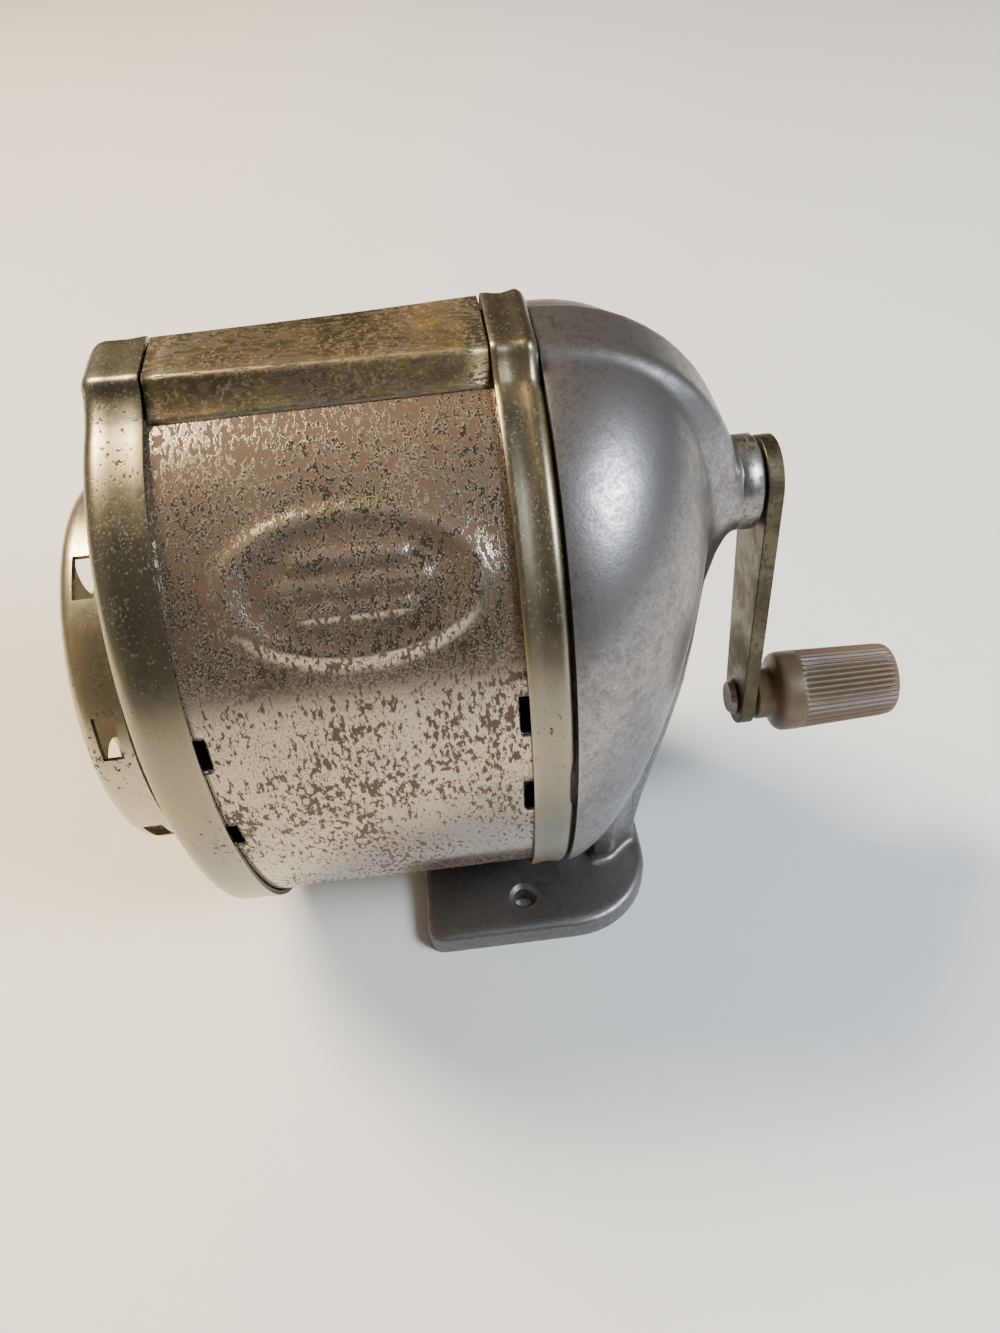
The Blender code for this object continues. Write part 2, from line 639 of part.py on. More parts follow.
def build_crank():
    """Build the flat crank arm, the handle's rivet and the turned grip, at the crank's rest angle."""
    crank = bpy.data.objects.new("crank_axis", None)
    PARTS.objects.link(crank)
    place(crank, (0, 0, SPINDLE_Z), (CRANK_REST_ANGLE, 0, 0))
    down = -ARM_LENGTH
    lean = math.degrees(math.asin((ARM_HUB_RADIUS - ARM_END_RADIUS) / ARM_LENGTH))
    outline = arc(ARM_HUB_RADIUS, (0, 0), -lean, 180 + lean, 18)
    outline += arc(ARM_END_RADIUS, (0, down), 180 + lean, 360 - lean, 14)
    holes = [circle(SHAFT_RADIUS + GAP, steps=24), circle(2.4 * MM, (0, down), 20)]
    arm = flat_outline("crank_arm", [outline] + holes, ARM_THICKNESS, "old_steel", crank)
    place(arm, (ARM_INNER_X + ARM_THICKNESS / 2, 0, 0), FACING_X)

    end = GRIP_START_X + GRIP_LENGTH - 2.0 * MM
    inner = ARM_INNER_X - GAP
    pin = [(0.0, end), (3.0 * MM, end), (3.4 * MM, end - 0.6 * MM), (3.4 * MM, end - 1.4 * MM),
           (2.1 * MM, end - 1.4 * MM), (2.1 * MM, inner), (3.2 * MM, inner), (2.6 * MM, inner - 0.9 * MM),
           (0.0, inner - 0.9 * MM)]
    rivet = turned("handle_rivet", pin, "tool_steel", crank, 24, False)
    place(rivet, (0, 0, down), ALONG_X)

    start = GRIP_START_X
    finish = start + GRIP_LENGTH
    grip = [(2.4 * MM, finish - 4.0 * MM), (3.9 * MM, finish - 4.0 * MM), (3.9 * MM, finish),
            (GRIP_END_RADIUS - 1.0 * MM, finish), (GRIP_END_RADIUS, finish - 0.8 * MM),
            (GRIP_COLLAR_RADIUS - 0.2 * MM, start + 7.6 * MM), (GRIP_COLLAR_RADIUS, start + 7.2 * MM),
            (GRIP_COLLAR_RADIUS, start + 4.4 * MM), (GRIP_COLLAR_RADIUS - 0.9 * MM, start + 3.4 * MM),
            (4.6 * MM, start + 2.8 * MM), (4.4 * MM, start), (2.4 * MM, start)]
    place(turned("handle_grip", grip, "brown_plastic", crank, 48), (0, 0, down), ALONG_X)


# ---------------------------------------------------------------- chip drum

def build_drum_sheet():
    """Build the wrapped sheet, open along the top under the channel."""
    right = drum_half(0.0, start=SHEET_EDGE_HALF_GAP, steps=30)
    left = [(-across, up) for across, up in reversed(right[:-1])]
    section = right + left
    stations = [(DRUM_FRONT_X - SHEET_LAP, section), (SHEET_LAP, section)]
    sheet = loft("drum_sheet", stations, "peppered_nickel", closed=False)
    solidify(sheet, SHEET_THICKNESS)
    smooth(sheet)


def build_top_channel():
    """Build the folded channel that closes the sheet, joggled to pass under both bands."""
    step = 0.4 * MM
    places = [(DRUM_FRONT_X - SHEET_LAP, -CHANNEL_JOGGLE), (DRUM_FRONT_X, -CHANNEL_JOGGLE),
              (DRUM_FRONT_X + step, 0.0), (-step, 0.0), (0.0, -CHANNEL_JOGGLE), (SHEET_LAP, -CHANNEL_JOGGLE)]
    stations = []
    for x, outset in places:
        foot = RIDGE_FOOT_HALF + outset
        foot_z = DRUM_CENTRE_Z + DRUM_UPPER_HEIGHT * math.sqrt(1 - (foot / DRUM_RADIUS) ** 2) + 3 * GAP
        right = ridge_half(outset, x) + [(foot, foot_z)]
        left = [(-across, up) for across, up in reversed(right[1:])]
        stations.append((x, left + right))
    channel = loft("top_channel", stations, "peppered_nickel", closed=False)
    solidify(channel, SHEET_THICKNESS)
    smooth(channel)


def build_bands():
    """Build the cupped front cap and the open rear band."""
    rows = [(0.0, 2.5), (0.3, 1.4), (1.0, 0.5), (2.2, 0.0), (CAP_DEPTH / MM, 0.0)]
    stations = []
    for along, inset in rows:
        x = CAP_FRONT_X + along * MM
        stations.append((x, band_section(BAND_OUTSET - inset * MM, x)))
    cap = loft("front_cap", stations, "nickel", cap_first=True)
    solidify(cap, BAND_THICKNESS)
    boolean(cap, cylinder("cap_pencil_hole", 6.2 * MM, 6 * MM, (CAP_FRONT_X, 0, SPINDLE_Z)))
    boolean(cap, cylinder("cap_rivet_hole", 2.4 * MM, 6 * MM, (CAP_FRONT_X, 0, DIAL_CENTRE_Z), steps=20))
    smooth(cap)

    rows = [(0.0, 0.0), (1.3, 0.0), (2.9, 0.25), (4.5, 0.0), (5.4, 0.25), (BAND_LENGTH / MM, 0.9)]
    stations = [(along * MM, band_section(BAND_OUTSET - inset * MM, along * MM)) for along, inset in rows]
    band = loft("rear_band", stations, "nickel")
    solidify(band, BAND_THICKNESS - 0.1 * MM)
    smooth(band)


def build_dial():
    """Build the pencil size dial, its rivet and spring washer, and the entry ferrule."""
    rim_back = DIAL_FRONT_X + DIAL_RIM_DEPTH
    profile = [(DIAL_RADIUS - DIAL_SHEET, rim_back), (DIAL_RADIUS, rim_back),
               (DIAL_RADIUS, DIAL_FRONT_X + 1.4 * MM), (DIAL_RADIUS - 0.5 * MM, DIAL_FRONT_X + 0.4 * MM),
               (DIAL_RADIUS - 1.6 * MM, DIAL_FRONT_X), (2.4 * MM, DIAL_FRONT_X),
               (2.4 * MM, DIAL_FRONT_X + DIAL_SHEET), (DIAL_RADIUS - 1.9 * MM, DIAL_FRONT_X + DIAL_SHEET),
               (DIAL_RADIUS - DIAL_SHEET, DIAL_FRONT_X + 1.9 * MM)]
    dial = turned_x("size_dial", profile, "nickel", DIAL_CENTRE_Z, 56)
    for index, radius in enumerate(DIAL_HOLE_RADII):
        turn = 2 * math.pi * index / DIAL_HOLES
        centre = (DIAL_FRONT_X, HOLE_CIRCLE * math.sin(turn), DIAL_CENTRE_Z + HOLE_CIRCLE * math.cos(turn))
        boolean(dial, cylinder(f"dial_hole_{index}", radius, 4 * MM, centre, steps=24))
        turn += math.pi / DIAL_HOLES
        window = block(f"dial_window_{index}", DIAL_WINDOW, (0, 0, 0))
        window.location = (DIAL_WINDOW_X, DIAL_RADIUS * math.sin(turn),
                           DIAL_CENTRE_Z + DIAL_RADIUS * math.cos(turn))
        window.rotation_euler = (-turn, 0, 0)
        boolean(dial, window)

    front = DIAL_FRONT_X - GAP
    back = CAP_FRONT_X + BAND_THICKNESS + GAP
    rivet = [(0.0, back + 1.2 * MM), (3.6 * MM, back + 1.2 * MM), (3.6 * MM, back), (2.0 * MM, back),
             (2.0 * MM, front), (4.4 * MM, front), (3.4 * MM, front - 1.1 * MM), (0.0, front - 1.3 * MM)]
    turned_x("dial_rivet", rivet, "old_steel", DIAL_CENTRE_Z, 24, False)

    near = DIAL_FRONT_X + DIAL_SHEET + GAP
    far = CAP_FRONT_X - GAP
    spring = [(10.0 * MM, far), (10.6 * MM, far), (4.2 * MM, near), (3.4 * MM, near), (3.4 * MM, near + 0.5 * MM)]
    turned_x("dial_spring", spring, "tool_steel", DIAL_CENTRE_Z, 32)

    face = CAP_FRONT_X
    ferrule = [(GUIDE_BORE_RADIUS, face + 3.4 * MM), (5.9 * MM, face + 3.4 * MM), (5.9 * MM, face - GAP),
               (7.6 * MM, face - GAP), (7.2 * MM, face - 1.2 * MM), (GUIDE_BORE_RADIUS + 0.6 * MM, face - 1.2 * MM),
               (GUIDE_BORE_RADIUS, face - 0.6 * MM)]
    turned_x("entry_ferrule", ferrule, "nickel", SPINDLE_Z, 32)


build_casting()
build_catches()
build_ring_gear()
build_planet("upper", 1)
build_planet("lower", -1)
build_carrier()
build_spindle()
build_crank()
build_drum_sheet()
build_top_channel()
build_bands()
build_dial()
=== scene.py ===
"""Finished looks for the crank pencil sharpener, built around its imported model."""

import logging
import math
from dataclasses import dataclass
from enum import Enum
from typing import Callable, Sequence

import bmesh
import bpy
from mathutils import Matrix, Vector


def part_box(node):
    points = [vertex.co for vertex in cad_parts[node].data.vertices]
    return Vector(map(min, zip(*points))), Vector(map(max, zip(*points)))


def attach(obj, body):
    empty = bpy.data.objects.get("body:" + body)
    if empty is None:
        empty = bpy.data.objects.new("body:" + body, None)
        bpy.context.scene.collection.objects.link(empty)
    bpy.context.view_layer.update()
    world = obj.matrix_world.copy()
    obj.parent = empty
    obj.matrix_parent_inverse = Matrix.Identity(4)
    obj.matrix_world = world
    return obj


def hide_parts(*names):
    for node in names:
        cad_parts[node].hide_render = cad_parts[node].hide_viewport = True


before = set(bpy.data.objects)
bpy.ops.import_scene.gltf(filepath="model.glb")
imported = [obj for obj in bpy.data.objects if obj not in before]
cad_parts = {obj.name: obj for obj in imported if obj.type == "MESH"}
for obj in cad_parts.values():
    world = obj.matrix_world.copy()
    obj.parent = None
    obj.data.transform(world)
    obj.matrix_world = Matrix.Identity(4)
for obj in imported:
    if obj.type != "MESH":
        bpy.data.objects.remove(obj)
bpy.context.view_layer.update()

MM = 0.001
LOG = logging.getLogger("pencil_sharpener")

Point = tuple[float, float]
Ring = list[Vector]
Socket = bpy.types.NodeSocket


# ------------------------------------------------------------------ node building

class Graph:
    """A short way to add and link nodes in one node tree."""

    def __init__(self, tree: bpy.types.NodeTree) -> None:
        """Keep the tree that the nodes go in.

        Args:
            tree: A material's or a group's node tree.
        """
        self.tree = tree

    def add(self, kind: str, **settings: object) -> bpy.types.Node:
        """Add one node and set its properties.

        Args:
            kind: The node's type name without its Shader prefix.
            settings: Property values by name.

        Returns:
            The new node.
        """
        node = self.tree.nodes.new("ShaderNode" + kind)
        for name, value in settings.items():
            setattr(node, name, value)
        return node

    def feed(self, socket: Socket, value: object) -> None:
        """Link a socket to another one, or set its plain value."""
        if isinstance(value, bpy.types.NodeSocket):
            self.tree.links.new(value, socket)
        else:
            socket.default_value = value

    def math(self, operation: str, first: object, second: object = 0.0, clamp: bool = False) -> Socket:
        """Combine two values.

        Args:
            operation: The Math node's operation.
            first: A socket or a number.
            second: A socket or a number.
            clamp: True to keep the result within 0 and 1.

        Returns:
            The result's socket.
        """
        node = self.add("Math", operation=operation, use_clamp=clamp)
        self.feed(node.inputs[0], first)
        self.feed(node.inputs[1], second)
        return node.outputs[0]

    def span(self, value: object, low: float, high: float, start: object = 0.0, end: object = 1.0) -> Socket:
        """Map low..high to start..end with soft ends, held beyond them.

        Args:
            value: A socket or a number.
            low: The value that gives start.
            high: The value that gives end.
            start: The result at low.
            end: The result at high.

        Returns:
            The result's socket.
        """
        node = self.add("MapRange", interpolation_type="SMOOTHSTEP")
        for socket, item in zip(node.inputs, (value, low, high, start, end)):
            self.feed(socket, item)
        return node.outputs[0]

    def place(self) -> Socket:
        """Return the object coordinate, which is the place in metres."""
        return self.add("TexCoord").outputs["Object"]

    def stretch(self, vector: Socket, factors: object) -> Socket:
        """Return a vector multiplied by factors along its three axes."""
        node = self.add("VectorMath", operation="MULTIPLY")
        self.feed(node.inputs[0], vector)
        self.feed(node.inputs[1], factors)
        return node.outputs[0]

    def noise(self, vector: Socket, scale: object, detail: float = 3.0, roughness: float = 0.55,
              distortion: float = 0.0) -> Socket:
        """Return a noise value around 0.5.

        Args:
            vector: The coordinate.
            scale: Cells per metre.
            detail: Octaves.
            roughness: Share of the fine octaves.
            distortion: How far the cells are pulled about.

        Returns:
            The value's socket.
        """
        node = self.add("TexNoise")
        for name, value in (("Vector", vector), ("Scale", scale), ("Detail", detail),
                            ("Roughness", roughness), ("Distortion", distortion)):
            self.feed(node.inputs[name], value)
        return node.outputs[0]

    def blend(self, share: object, first: object, second: object, mode: str = "MIX") -> Socket:
        """Mix two colours.

        Args:
            share: How much of the second colour.
            first: A colour or a socket.
            second: A colour or a socket.
            mode: The Mix node's blend type.

        Returns:
            The colour's socket.
        """
        node = self.add("Mix", data_type="RGBA", blend_type=mode)
        self.feed(node.inputs[0], share)
        self.feed(node.inputs[6], first)
        self.feed(node.inputs[7], second)
        return node.outputs[2]

    def apart(self, vector: Socket) -> bpy.types.NodeOutputs:
        """Return a vector's X, Y and Z sockets."""
        node = self.add("SeparateXYZ")
        self.feed(node.inputs[0], vector)
        return node.outputs

    def use(self, effect: "Effect", **values: object) -> bpy.types.NodeOutputs:
        """Place a shared effect in this tree.

        Args:
            effect: Which effect.
            values: Input values or sockets by name, with _ for a space.

        Returns:
            The effect's outputs.
        """
        node = self.add("Group")
        node.node_tree = effect_group(effect)
        for name, value in values.items():
            self.feed(node.inputs[name.replace("_", " ")], value)
        return node.outputs


class Effect(Enum):
    """Surface effects that more than one finish uses."""

    SPECKS = "rust_specks"
    GRAIN = "surface_grain"
    WEAR = "edge_wear"
    STAIN = "cloudy_stain"
    SCRATCHES = "fine_scratches"


INPUTS: dict[Effect, dict[str, float]] = {
    Effect.SPECKS: {"Scale": 900.0, "Run": 0.5, "Coverage": 0.3, "Patchiness": 0.4, "Patch Scale": 60.0},
    Effect.GRAIN: {"Scale": 1500.0, "Run": 1.0, "Contrast": 1.0},
    Effect.WEAR: {"Width": 0.06, "Breakup": 0.5, "Scale": 500.0},
    Effect.STAIN: {"Scale": 60.0, "Amount": 0.5},
    Effect.SCRATCHES: {"Scale": 120.0, "Amount": 0.5},
}


def effect_group(effect: Effect) -> bpy.types.NodeTree:
    """Return an effect's shader group, built on first use.

    Args:
        effect: Which effect.

    Returns:
        The group's node tree, with a Mask output and a Height output.
    """
    found = bpy.data.node_groups.get(effect.value)
    if found:
        return found
    tree = bpy.data.node_groups.new(effect.value, "ShaderNodeTree")
    for name, value in INPUTS[effect].items():
        made = tree.interface.new_socket(name, in_out="INPUT", socket_type="NodeSocketFloat")
        made.default_value = value
    for name in ("Mask", "Height"):
        tree.interface.new_socket(name, in_out="OUTPUT", socket_type="NodeSocketFloat")
    graph = Graph(tree)
    entry = tree.nodes.new("NodeGroupInput")
    leave = tree.nodes.new("NodeGroupOutput")
    mask, height = EFFECT_BUILDERS[effect](graph, entry.outputs)
    graph.feed(leave.inputs["Mask"], mask)
    graph.feed(leave.inputs["Height"], height)
    return tree


def along_girth(graph: Graph, run: object) -> Socket:
    """Return the place squeezed by run round the spindle's axis, so that marks grow long that way."""
    joined = graph.add("CombineXYZ")
    graph.feed(joined.inputs[0], 1.0)
    graph.feed(joined.inputs[1], run)
    graph.feed(joined.inputs[2], run)
    return graph.stretch(graph.place(), joined.outputs[0])


def build_specks(graph: Graph, entry: bpy.types.NodeOutputs) -> tuple[Socket, Socket]:
    """Small crisp rust specks that gather in patches."""
    fine = graph.noise(along_girth(graph, entry["Run"]), entry["Scale"], 4.0, 0.62)
    patch = graph.noise(graph.place(), entry["Patch Scale"], 3.0, 0.6)
    lift = graph.math("MULTIPLY", graph.math("SUBTRACT", patch, 0.5), entry["Patchiness"])
    level = graph.math("ADD", graph.math("ADD", fine, lift), graph.math("MULTIPLY", entry["Coverage"], 0.3))
    return graph.span(level, 0.595, 0.635), graph.span(level, 0.56, 0.70)


def build_grain(graph: Graph, entry: bpy.types.NodeOutputs) -> tuple[Socket, Socket]:
    """Fine even mottling of paint, plate or cast metal."""
    place = along_girth(graph, entry["Run"])
    fine = graph.noise(place, entry["Scale"], 4.0, 0.6)
    coarse = graph.noise(place, graph.math("MULTIPLY", entry["Scale"], 0.31), 2.0, 0.5)
    both = graph.math("ADD", graph.math("MULTIPLY", fine, 0.65), graph.math("MULTIPLY", coarse, 0.35))
    spread = graph.math("MULTIPLY", graph.math("SUBTRACT", both, 0.5), entry["Contrast"])
    mask = graph.math("ADD", graph.math("MULTIPLY", spread, 3.0), 0.5, clamp=True)
    return mask, both


def build_wear(graph: Graph, entry: bpy.types.NodeOutputs) -> tuple[Socket, Socket]:
    """Raised edges rubbed bright, broken up by noise."""
    edge = graph.add("NewGeometry").outputs["Pointiness"]
    raised = graph.math("DIVIDE", graph.math("SUBTRACT", edge, 0.5), entry["Width"], clamp=True)
    broken = graph.noise(graph.place(), entry["Scale"], 3.0, 0.6)
    gate = graph.math("SUBTRACT", 1.0, graph.math("MULTIPLY", broken, entry["Breakup"]))
    mask = graph.math("MULTIPLY", raised, gate, clamp=True)
    return mask, mask


def build_stain(graph: Graph, entry: bpy.types.NodeOutputs) -> tuple[Socket, Socket]:
    """Broad soft clouds of tarnish."""
    broad = graph.noise(graph.place(), entry["Scale"], 5.0, 0.62, 0.4)
    mask = graph.math("MULTIPLY", graph.span(broad, 0.40, 0.66), entry["Amount"])
    return mask, broad


def build_scratches(graph: Graph, entry: bpy.types.NodeOutputs) -> tuple[Socket, Socket]:
    """A few thin dark scratches lying aslant."""
    turned = graph.add("Mapping")
    graph.feed(turned.inputs["Vector"], graph.place())
    turned.inputs["Rotation"].default_value = (0.35, 0.22, 0.3)
    turned.inputs["Scale"].default_value = (9.0, 1.0, 0.7)
    line = graph.noise(turned.outputs[0], entry["Scale"], 1.0, 0.4)
    where = graph.noise(graph.place(), 75.0, 2.0, 0.5)
    thin = graph.span(line, 0.712, 0.735)
    mask = graph.math("MULTIPLY", thin, graph.math("MULTIPLY", graph.span(where, 0.5, 0.6), entry["Amount"]))
    return mask, mask


EFFECT_BUILDERS: dict[Effect, Callable[[Graph, bpy.types.NodeOutputs], tuple[Socket, Socket]]] = {
    Effect.SPECKS: build_specks,
    Effect.GRAIN: build_grain,
    Effect.WEAR: build_wear,
    Effect.STAIN: build_stain,
    Effect.SCRATCHES: build_scratches,
}


# ------------------------------------------------------------------ finishes

Colour = tuple[float, float, float, float]


@dataclass(frozen=True)
class Finish:
    """What every finish has: a name and its own material."""

    name: str

    def material(self) -> bpy.types.Material:
        """Return the finish's material, built on first use."""
        found = bpy.data.materials.get(self.name)
        if found:
            return found
        made = bpy.data.materials.new(self.name)
        made.use_nodes = True
        shader = made.node_tree.nodes["Principled BSDF"]
        self.paint(Graph(made.node_tree), shader)
        return made

    def paint(self, graph: Graph, shader: bpy.types.Node) -> None:
        """Feed the shader; each finish has its own way."""
        raise NotImplementedError

    def bump(self, graph: Graph, shader: bpy.types.Node, height: Socket, strength: float,
             distance: float) -> None:
        """Raise the surface by a height.

        Args:
            graph: The material's graph.
            shader: The Principled node.
            height: The height's socket, from 0 to 1.
            strength: How much of the bump shows.
            distance: The full height in metres.
        """
        node = graph.add("Bump")
        node.inputs["Strength"].default_value = strength
        node.inputs["Distance"].default_value = distance
        graph.feed(node.inputs["Height"], height)
        graph.feed(shader.inputs["Normal"], node.outputs[0])


@dataclass(frozen=True)
class CastPaint(Finish):
    """Silver-grey metallic paint on a die casting, finely mottled."""

    dark: Colour = (0.118, 0.108, 0.107, 1.0)
    light: Colour = (0.340, 0.322, 0.322, 1.0)
    bare: Colour = (0.62, 0.61, 0.60, 1.0)
    grime_and_shade: Colour = (0.10, 0.092, 0.082, 1.0)
    # foot_shade: how strongly painted shade darkens the foot and the base of the leg.
    foot_shade: float = 0.48

    def paint(self, graph: Graph, shader: bpy.types.Node) -> None:
        """Feed mottled grey with worn edges and scratches, and painted shade that darkens the foot."""
        grain = graph.use(Effect.GRAIN, Scale=2100.0, Contrast=1.5)
        blotch = graph.use(Effect.GRAIN, Scale=520.0, Contrast=0.9)
        both = graph.math("ADD", graph.math("MULTIPLY", grain["Mask"], 0.6),
                          graph.math("MULTIPLY", blotch["Mask"], 0.4))
        colour = graph.blend(both, self.dark, self.light)
        stain = graph.use(Effect.STAIN, Scale=38.0, Amount=0.30)
        colour = graph.blend(stain["Mask"], colour, self.grime_and_shade)
        height = graph.apart(graph.place())[2]
        # Painted shade: the foot and the leg's base, which lie under the drum and the dome, are darkened towards the
        # table.
        low = graph.span(height, 5.0 * MM, 17.0 * MM, self.foot_shade, 0.0)
        colour = graph.blend(low, colour, self.grime_and_shade)
        wear = graph.use(Effect.WEAR, Width=0.10, Breakup=0.9, Scale=900.0)
        colour = graph.blend(graph.math("MULTIPLY", wear["Mask"], 0.55), colour, self.bare)
        scratch = graph.use(Effect.SCRATCHES, Scale=70.0, Amount=0.8)
        colour = graph.blend(scratch["Mask"], colour, self.grime_and_shade)
        graph.feed(shader.inputs["Base Color"], colour)
        metal = graph.span(both, 0.0, 1.0, 0.80, 0.97)
        graph.feed(shader.inputs["Metallic"], metal)
        rough = graph.math("ADD", graph.span(both, 0.0, 1.0, 0.42, 0.30), graph.math("MULTIPLY", low, 0.12))
        graph.feed(shader.inputs["Roughness"], rough)
        self.bump(graph, shader, graph.math("ADD", grain["Height"], blotch["Height"]), 0.32, 0.10 * MM)


@dataclass(frozen=True)
class PlatedSheet(Finish):
    """Nickel plate on pressed sheet, with rust specks and tarnish."""

    metal: Colour = (0.66, 0.61, 0.52, 1.0)
    warm: Colour = (0.42, 0.30, 0.13, 1.0)
    rust: Colour = (0.085, 0.050, 0.028, 1.0)
    edge: Colour = (0.55, 0.52, 0.43, 1.0)
    coverage: float = 0.1
    patchiness: float = 0.4
    speck_scale: float = 900.0
    run: float = 0.6
    polish: float = 0.30
    tarnish: float = 0.35
    crown: float = 0.0

    def paint(self, graph: Graph, shader: bpy.types.Node) -> None:
        """Feed plate, tarnish and rust specks that rough it up, all heavier towards the crown, where the darkening is
        partly painted shade.
        """
        height = graph.apart(graph.place())[2]
        # crown: rust, dust and tarnish heavier towards the top; this darkening of the top is also painted shade for the
        # dim reflection up there.
        crown = graph.math("MULTIPLY", graph.span(height, 66.0 * MM, 100.0 * MM), self.crown)
        specks = graph.use(Effect.SPECKS, Scale=self.speck_scale, Run=self.run, Patchiness=self.patchiness,
                           Coverage=graph.math("ADD", self.coverage, crown))
        dust = graph.use(Effect.SPECKS, Scale=self.speck_scale * 2.6, Run=0.8, Patchiness=0.3,
                         Patch_Scale=110.0, Coverage=graph.math("ADD", self.coverage * 0.7, crown))
        stain = graph.use(Effect.STAIN, Scale=52.0, Amount=self.tarnish)
        grain = graph.use(Effect.GRAIN, Scale=1700.0, Run=0.5, Contrast=0.8)
        # Warm tarnish, plus painted shade that darkens and warms the top.
        tarnish_and_top_shade = graph.math("ADD", stain["Mask"], graph.math("MULTIPLY", crown, 0.55), clamp=True)
        colour = graph.blend(tarnish_and_top_shade, self.metal, self.warm)
        colour = graph.blend(graph.math("MULTIPLY", dust["Mask"], 0.55), colour, self.rust)
        colour = graph.blend(specks["Mask"], colour, self.rust)
        wear = graph.use(Effect.WEAR, Width=0.14, Breakup=0.6)
        bright = graph.blend(graph.math("MULTIPLY", wear["Mask"], 0.4), colour, self.edge)
        graph.feed(shader.inputs["Base Color"], bright)
        marks = graph.math("MAXIMUM", specks["Mask"], graph.math("MULTIPLY", dust["Mask"], 0.6))
        graph.feed(shader.inputs["Metallic"], graph.span(marks, 0.0, 1.0, 1.0, 0.25))
        rough = graph.math("ADD", self.polish, graph.math("MULTIPLY", marks, 0.42))
        rough = graph.math("ADD", rough, graph.math("MULTIPLY", tarnish_and_top_shade, 0.16))
        rough = graph.math("ADD", rough, graph.math("MULTIPLY", grain["Mask"], 0.07), clamp=True)
        graph.feed(shader.inputs["Roughness"], rough)
        relief = graph.math("SUBTRACT", graph.math("MULTIPLY", grain["Height"], 0.35), specks["Height"])
        self.bump(graph, shader, relief, 0.30, 0.06 * MM)


@dataclass(frozen=True)
class WorkedSteel(Finish):
    """Turned, milled or blanked metal with tool grain, oil stain and dull spots."""

    base: Colour = (0.46, 0.45, 0.43, 1.0)
    stained: Colour = (0.20, 0.165, 0.12, 1.0)
    polish: float = 0.34
    staining: float = 0.6
    specks: float = 0.12

    def paint(self, graph: Graph, shader: bpy.types.Node) -> None:
        """Feed steel, brown stain and a tool grain."""
        grain = graph.use(Effect.GRAIN, Scale=1900.0, Run=0.3, Contrast=1.3)
        stain = graph.use(Effect.STAIN, Scale=120.0, Amount=self.staining)
        spots = graph.use(Effect.SPECKS, Scale=1100.0, Run=0.8, Coverage=self.specks, Patchiness=0.5)
        tone = graph.blend(grain["Mask"], tuple(0.72 * part for part in self.base[:3]) + (1.0,), self.base)
        colour = graph.blend(stain["Mask"], tone, self.stained)
        colour = graph.blend(spots["Mask"], colour, tuple(0.4 * part for part in self.stained[:3]) + (1.0,))
        wear = graph.use(Effect.WEAR, Width=0.12, Breakup=0.5)
        lit = tuple(min(1.0, 1.45 * part) for part in self.base[:3]) + (1.0,)
        colour = graph.blend(graph.math("MULTIPLY", wear["Mask"], 0.6), colour, lit)
        graph.feed(shader.inputs["Base Color"], colour)
        graph.feed(shader.inputs["Metallic"], graph.span(spots["Mask"], 0.0, 1.0, 1.0, 0.4))
        rough = graph.math("ADD", self.polish, graph.math("MULTIPLY", stain["Mask"], 0.22))
        rough = graph.math("ADD", rough, graph.math("MULTIPLY", grain["Mask"], 0.10), clamp=True)
        graph.feed(shader.inputs["Roughness"], rough)
        self.bump(graph, shader, grain["Height"], 0.22, 0.05 * MM)


@dataclass(frozen=True)
class MouldedPlastic(Finish):
    """Brown moulded plastic, rubbed paler on its ribs and darker in the hollows between them."""

    body: Colour = (0.092, 0.057, 0.029, 1.0)
    rubbed: Colour = (0.27, 0.19, 0.115, 1.0)
    hollow_dark: Colour = (0.022, 0.014, 0.009, 1.0)

    def paint(self, graph: Graph, shader: bpy.types.Node) -> None:
        """Feed brown, paler on raised edges and dark in the hollows."""
        mottle = graph.use(Effect.GRAIN, Scale=420.0, Contrast=0.8)
        colour = graph.blend(graph.math("MULTIPLY", mottle["Mask"], 0.18), self.body, self.rubbed)
        wear = graph.use(Effect.WEAR, Width=0.10, Breakup=0.4, Scale=700.0)
        colour = graph.blend(graph.math("MULTIPLY", wear["Mask"], 0.5), colour, self.rubbed)
        # Darker in the hollows between the ribs, found from curvature alone.
        hollow = graph.span(graph.add("NewGeometry").outputs["Pointiness"], 0.47, 0.40)
        colour = graph.blend(hollow, colour, self.hollow_dark)
        graph.feed(shader.inputs["Base Color"], colour)
        grain = graph.use(Effect.GRAIN, Scale=2600.0, Contrast=1.0)
        graph.feed(shader.inputs["Roughness"], graph.span(grain["Mask"], 0.0, 1.0, 0.36, 0.50))
        self.bump(graph, shader, grain["Height"], 0.2, 0.04 * MM)


@dataclass(frozen=True)
class PaleTable(Finish):
    """Matt pale paper-like table top."""

    warm: Colour = (0.90, 0.865, 0.79, 1.0)
    cool: Colour = (0.84, 0.845, 0.86, 1.0)

    def paint(self, graph: Graph, shader: bpy.types.Node) -> None:
        """Feed a pale tone with a painted drift of light from warm to cool, and a faint tooth."""
        place = graph.place()
        # Painted light: the tone drifts from warm on the left to cool on the right, as the lamps' colours fall across
        # the table.
        painted_light_drift = graph.span(graph.apart(place)[0], -0.10, 0.09)
        cloud = graph.use(Effect.STAIN, Scale=9.0, Amount=0.10)
        colour = graph.blend(painted_light_drift, self.warm, self.cool)
        colour = graph.blend(cloud["Mask"], colour, (0.66, 0.65, 0.63, 1.0))
        graph.feed(shader.inputs["Base Color"], colour)
        tooth = graph.use(Effect.GRAIN, Scale=900.0, Contrast=0.6)
        graph.feed(shader.inputs["Roughness"], graph.span(tooth["Mask"], 0.0, 1.0, 0.50, 0.64))
        self.bump(graph, shader, tooth["Height"], 0.08, 0.05 * MM)


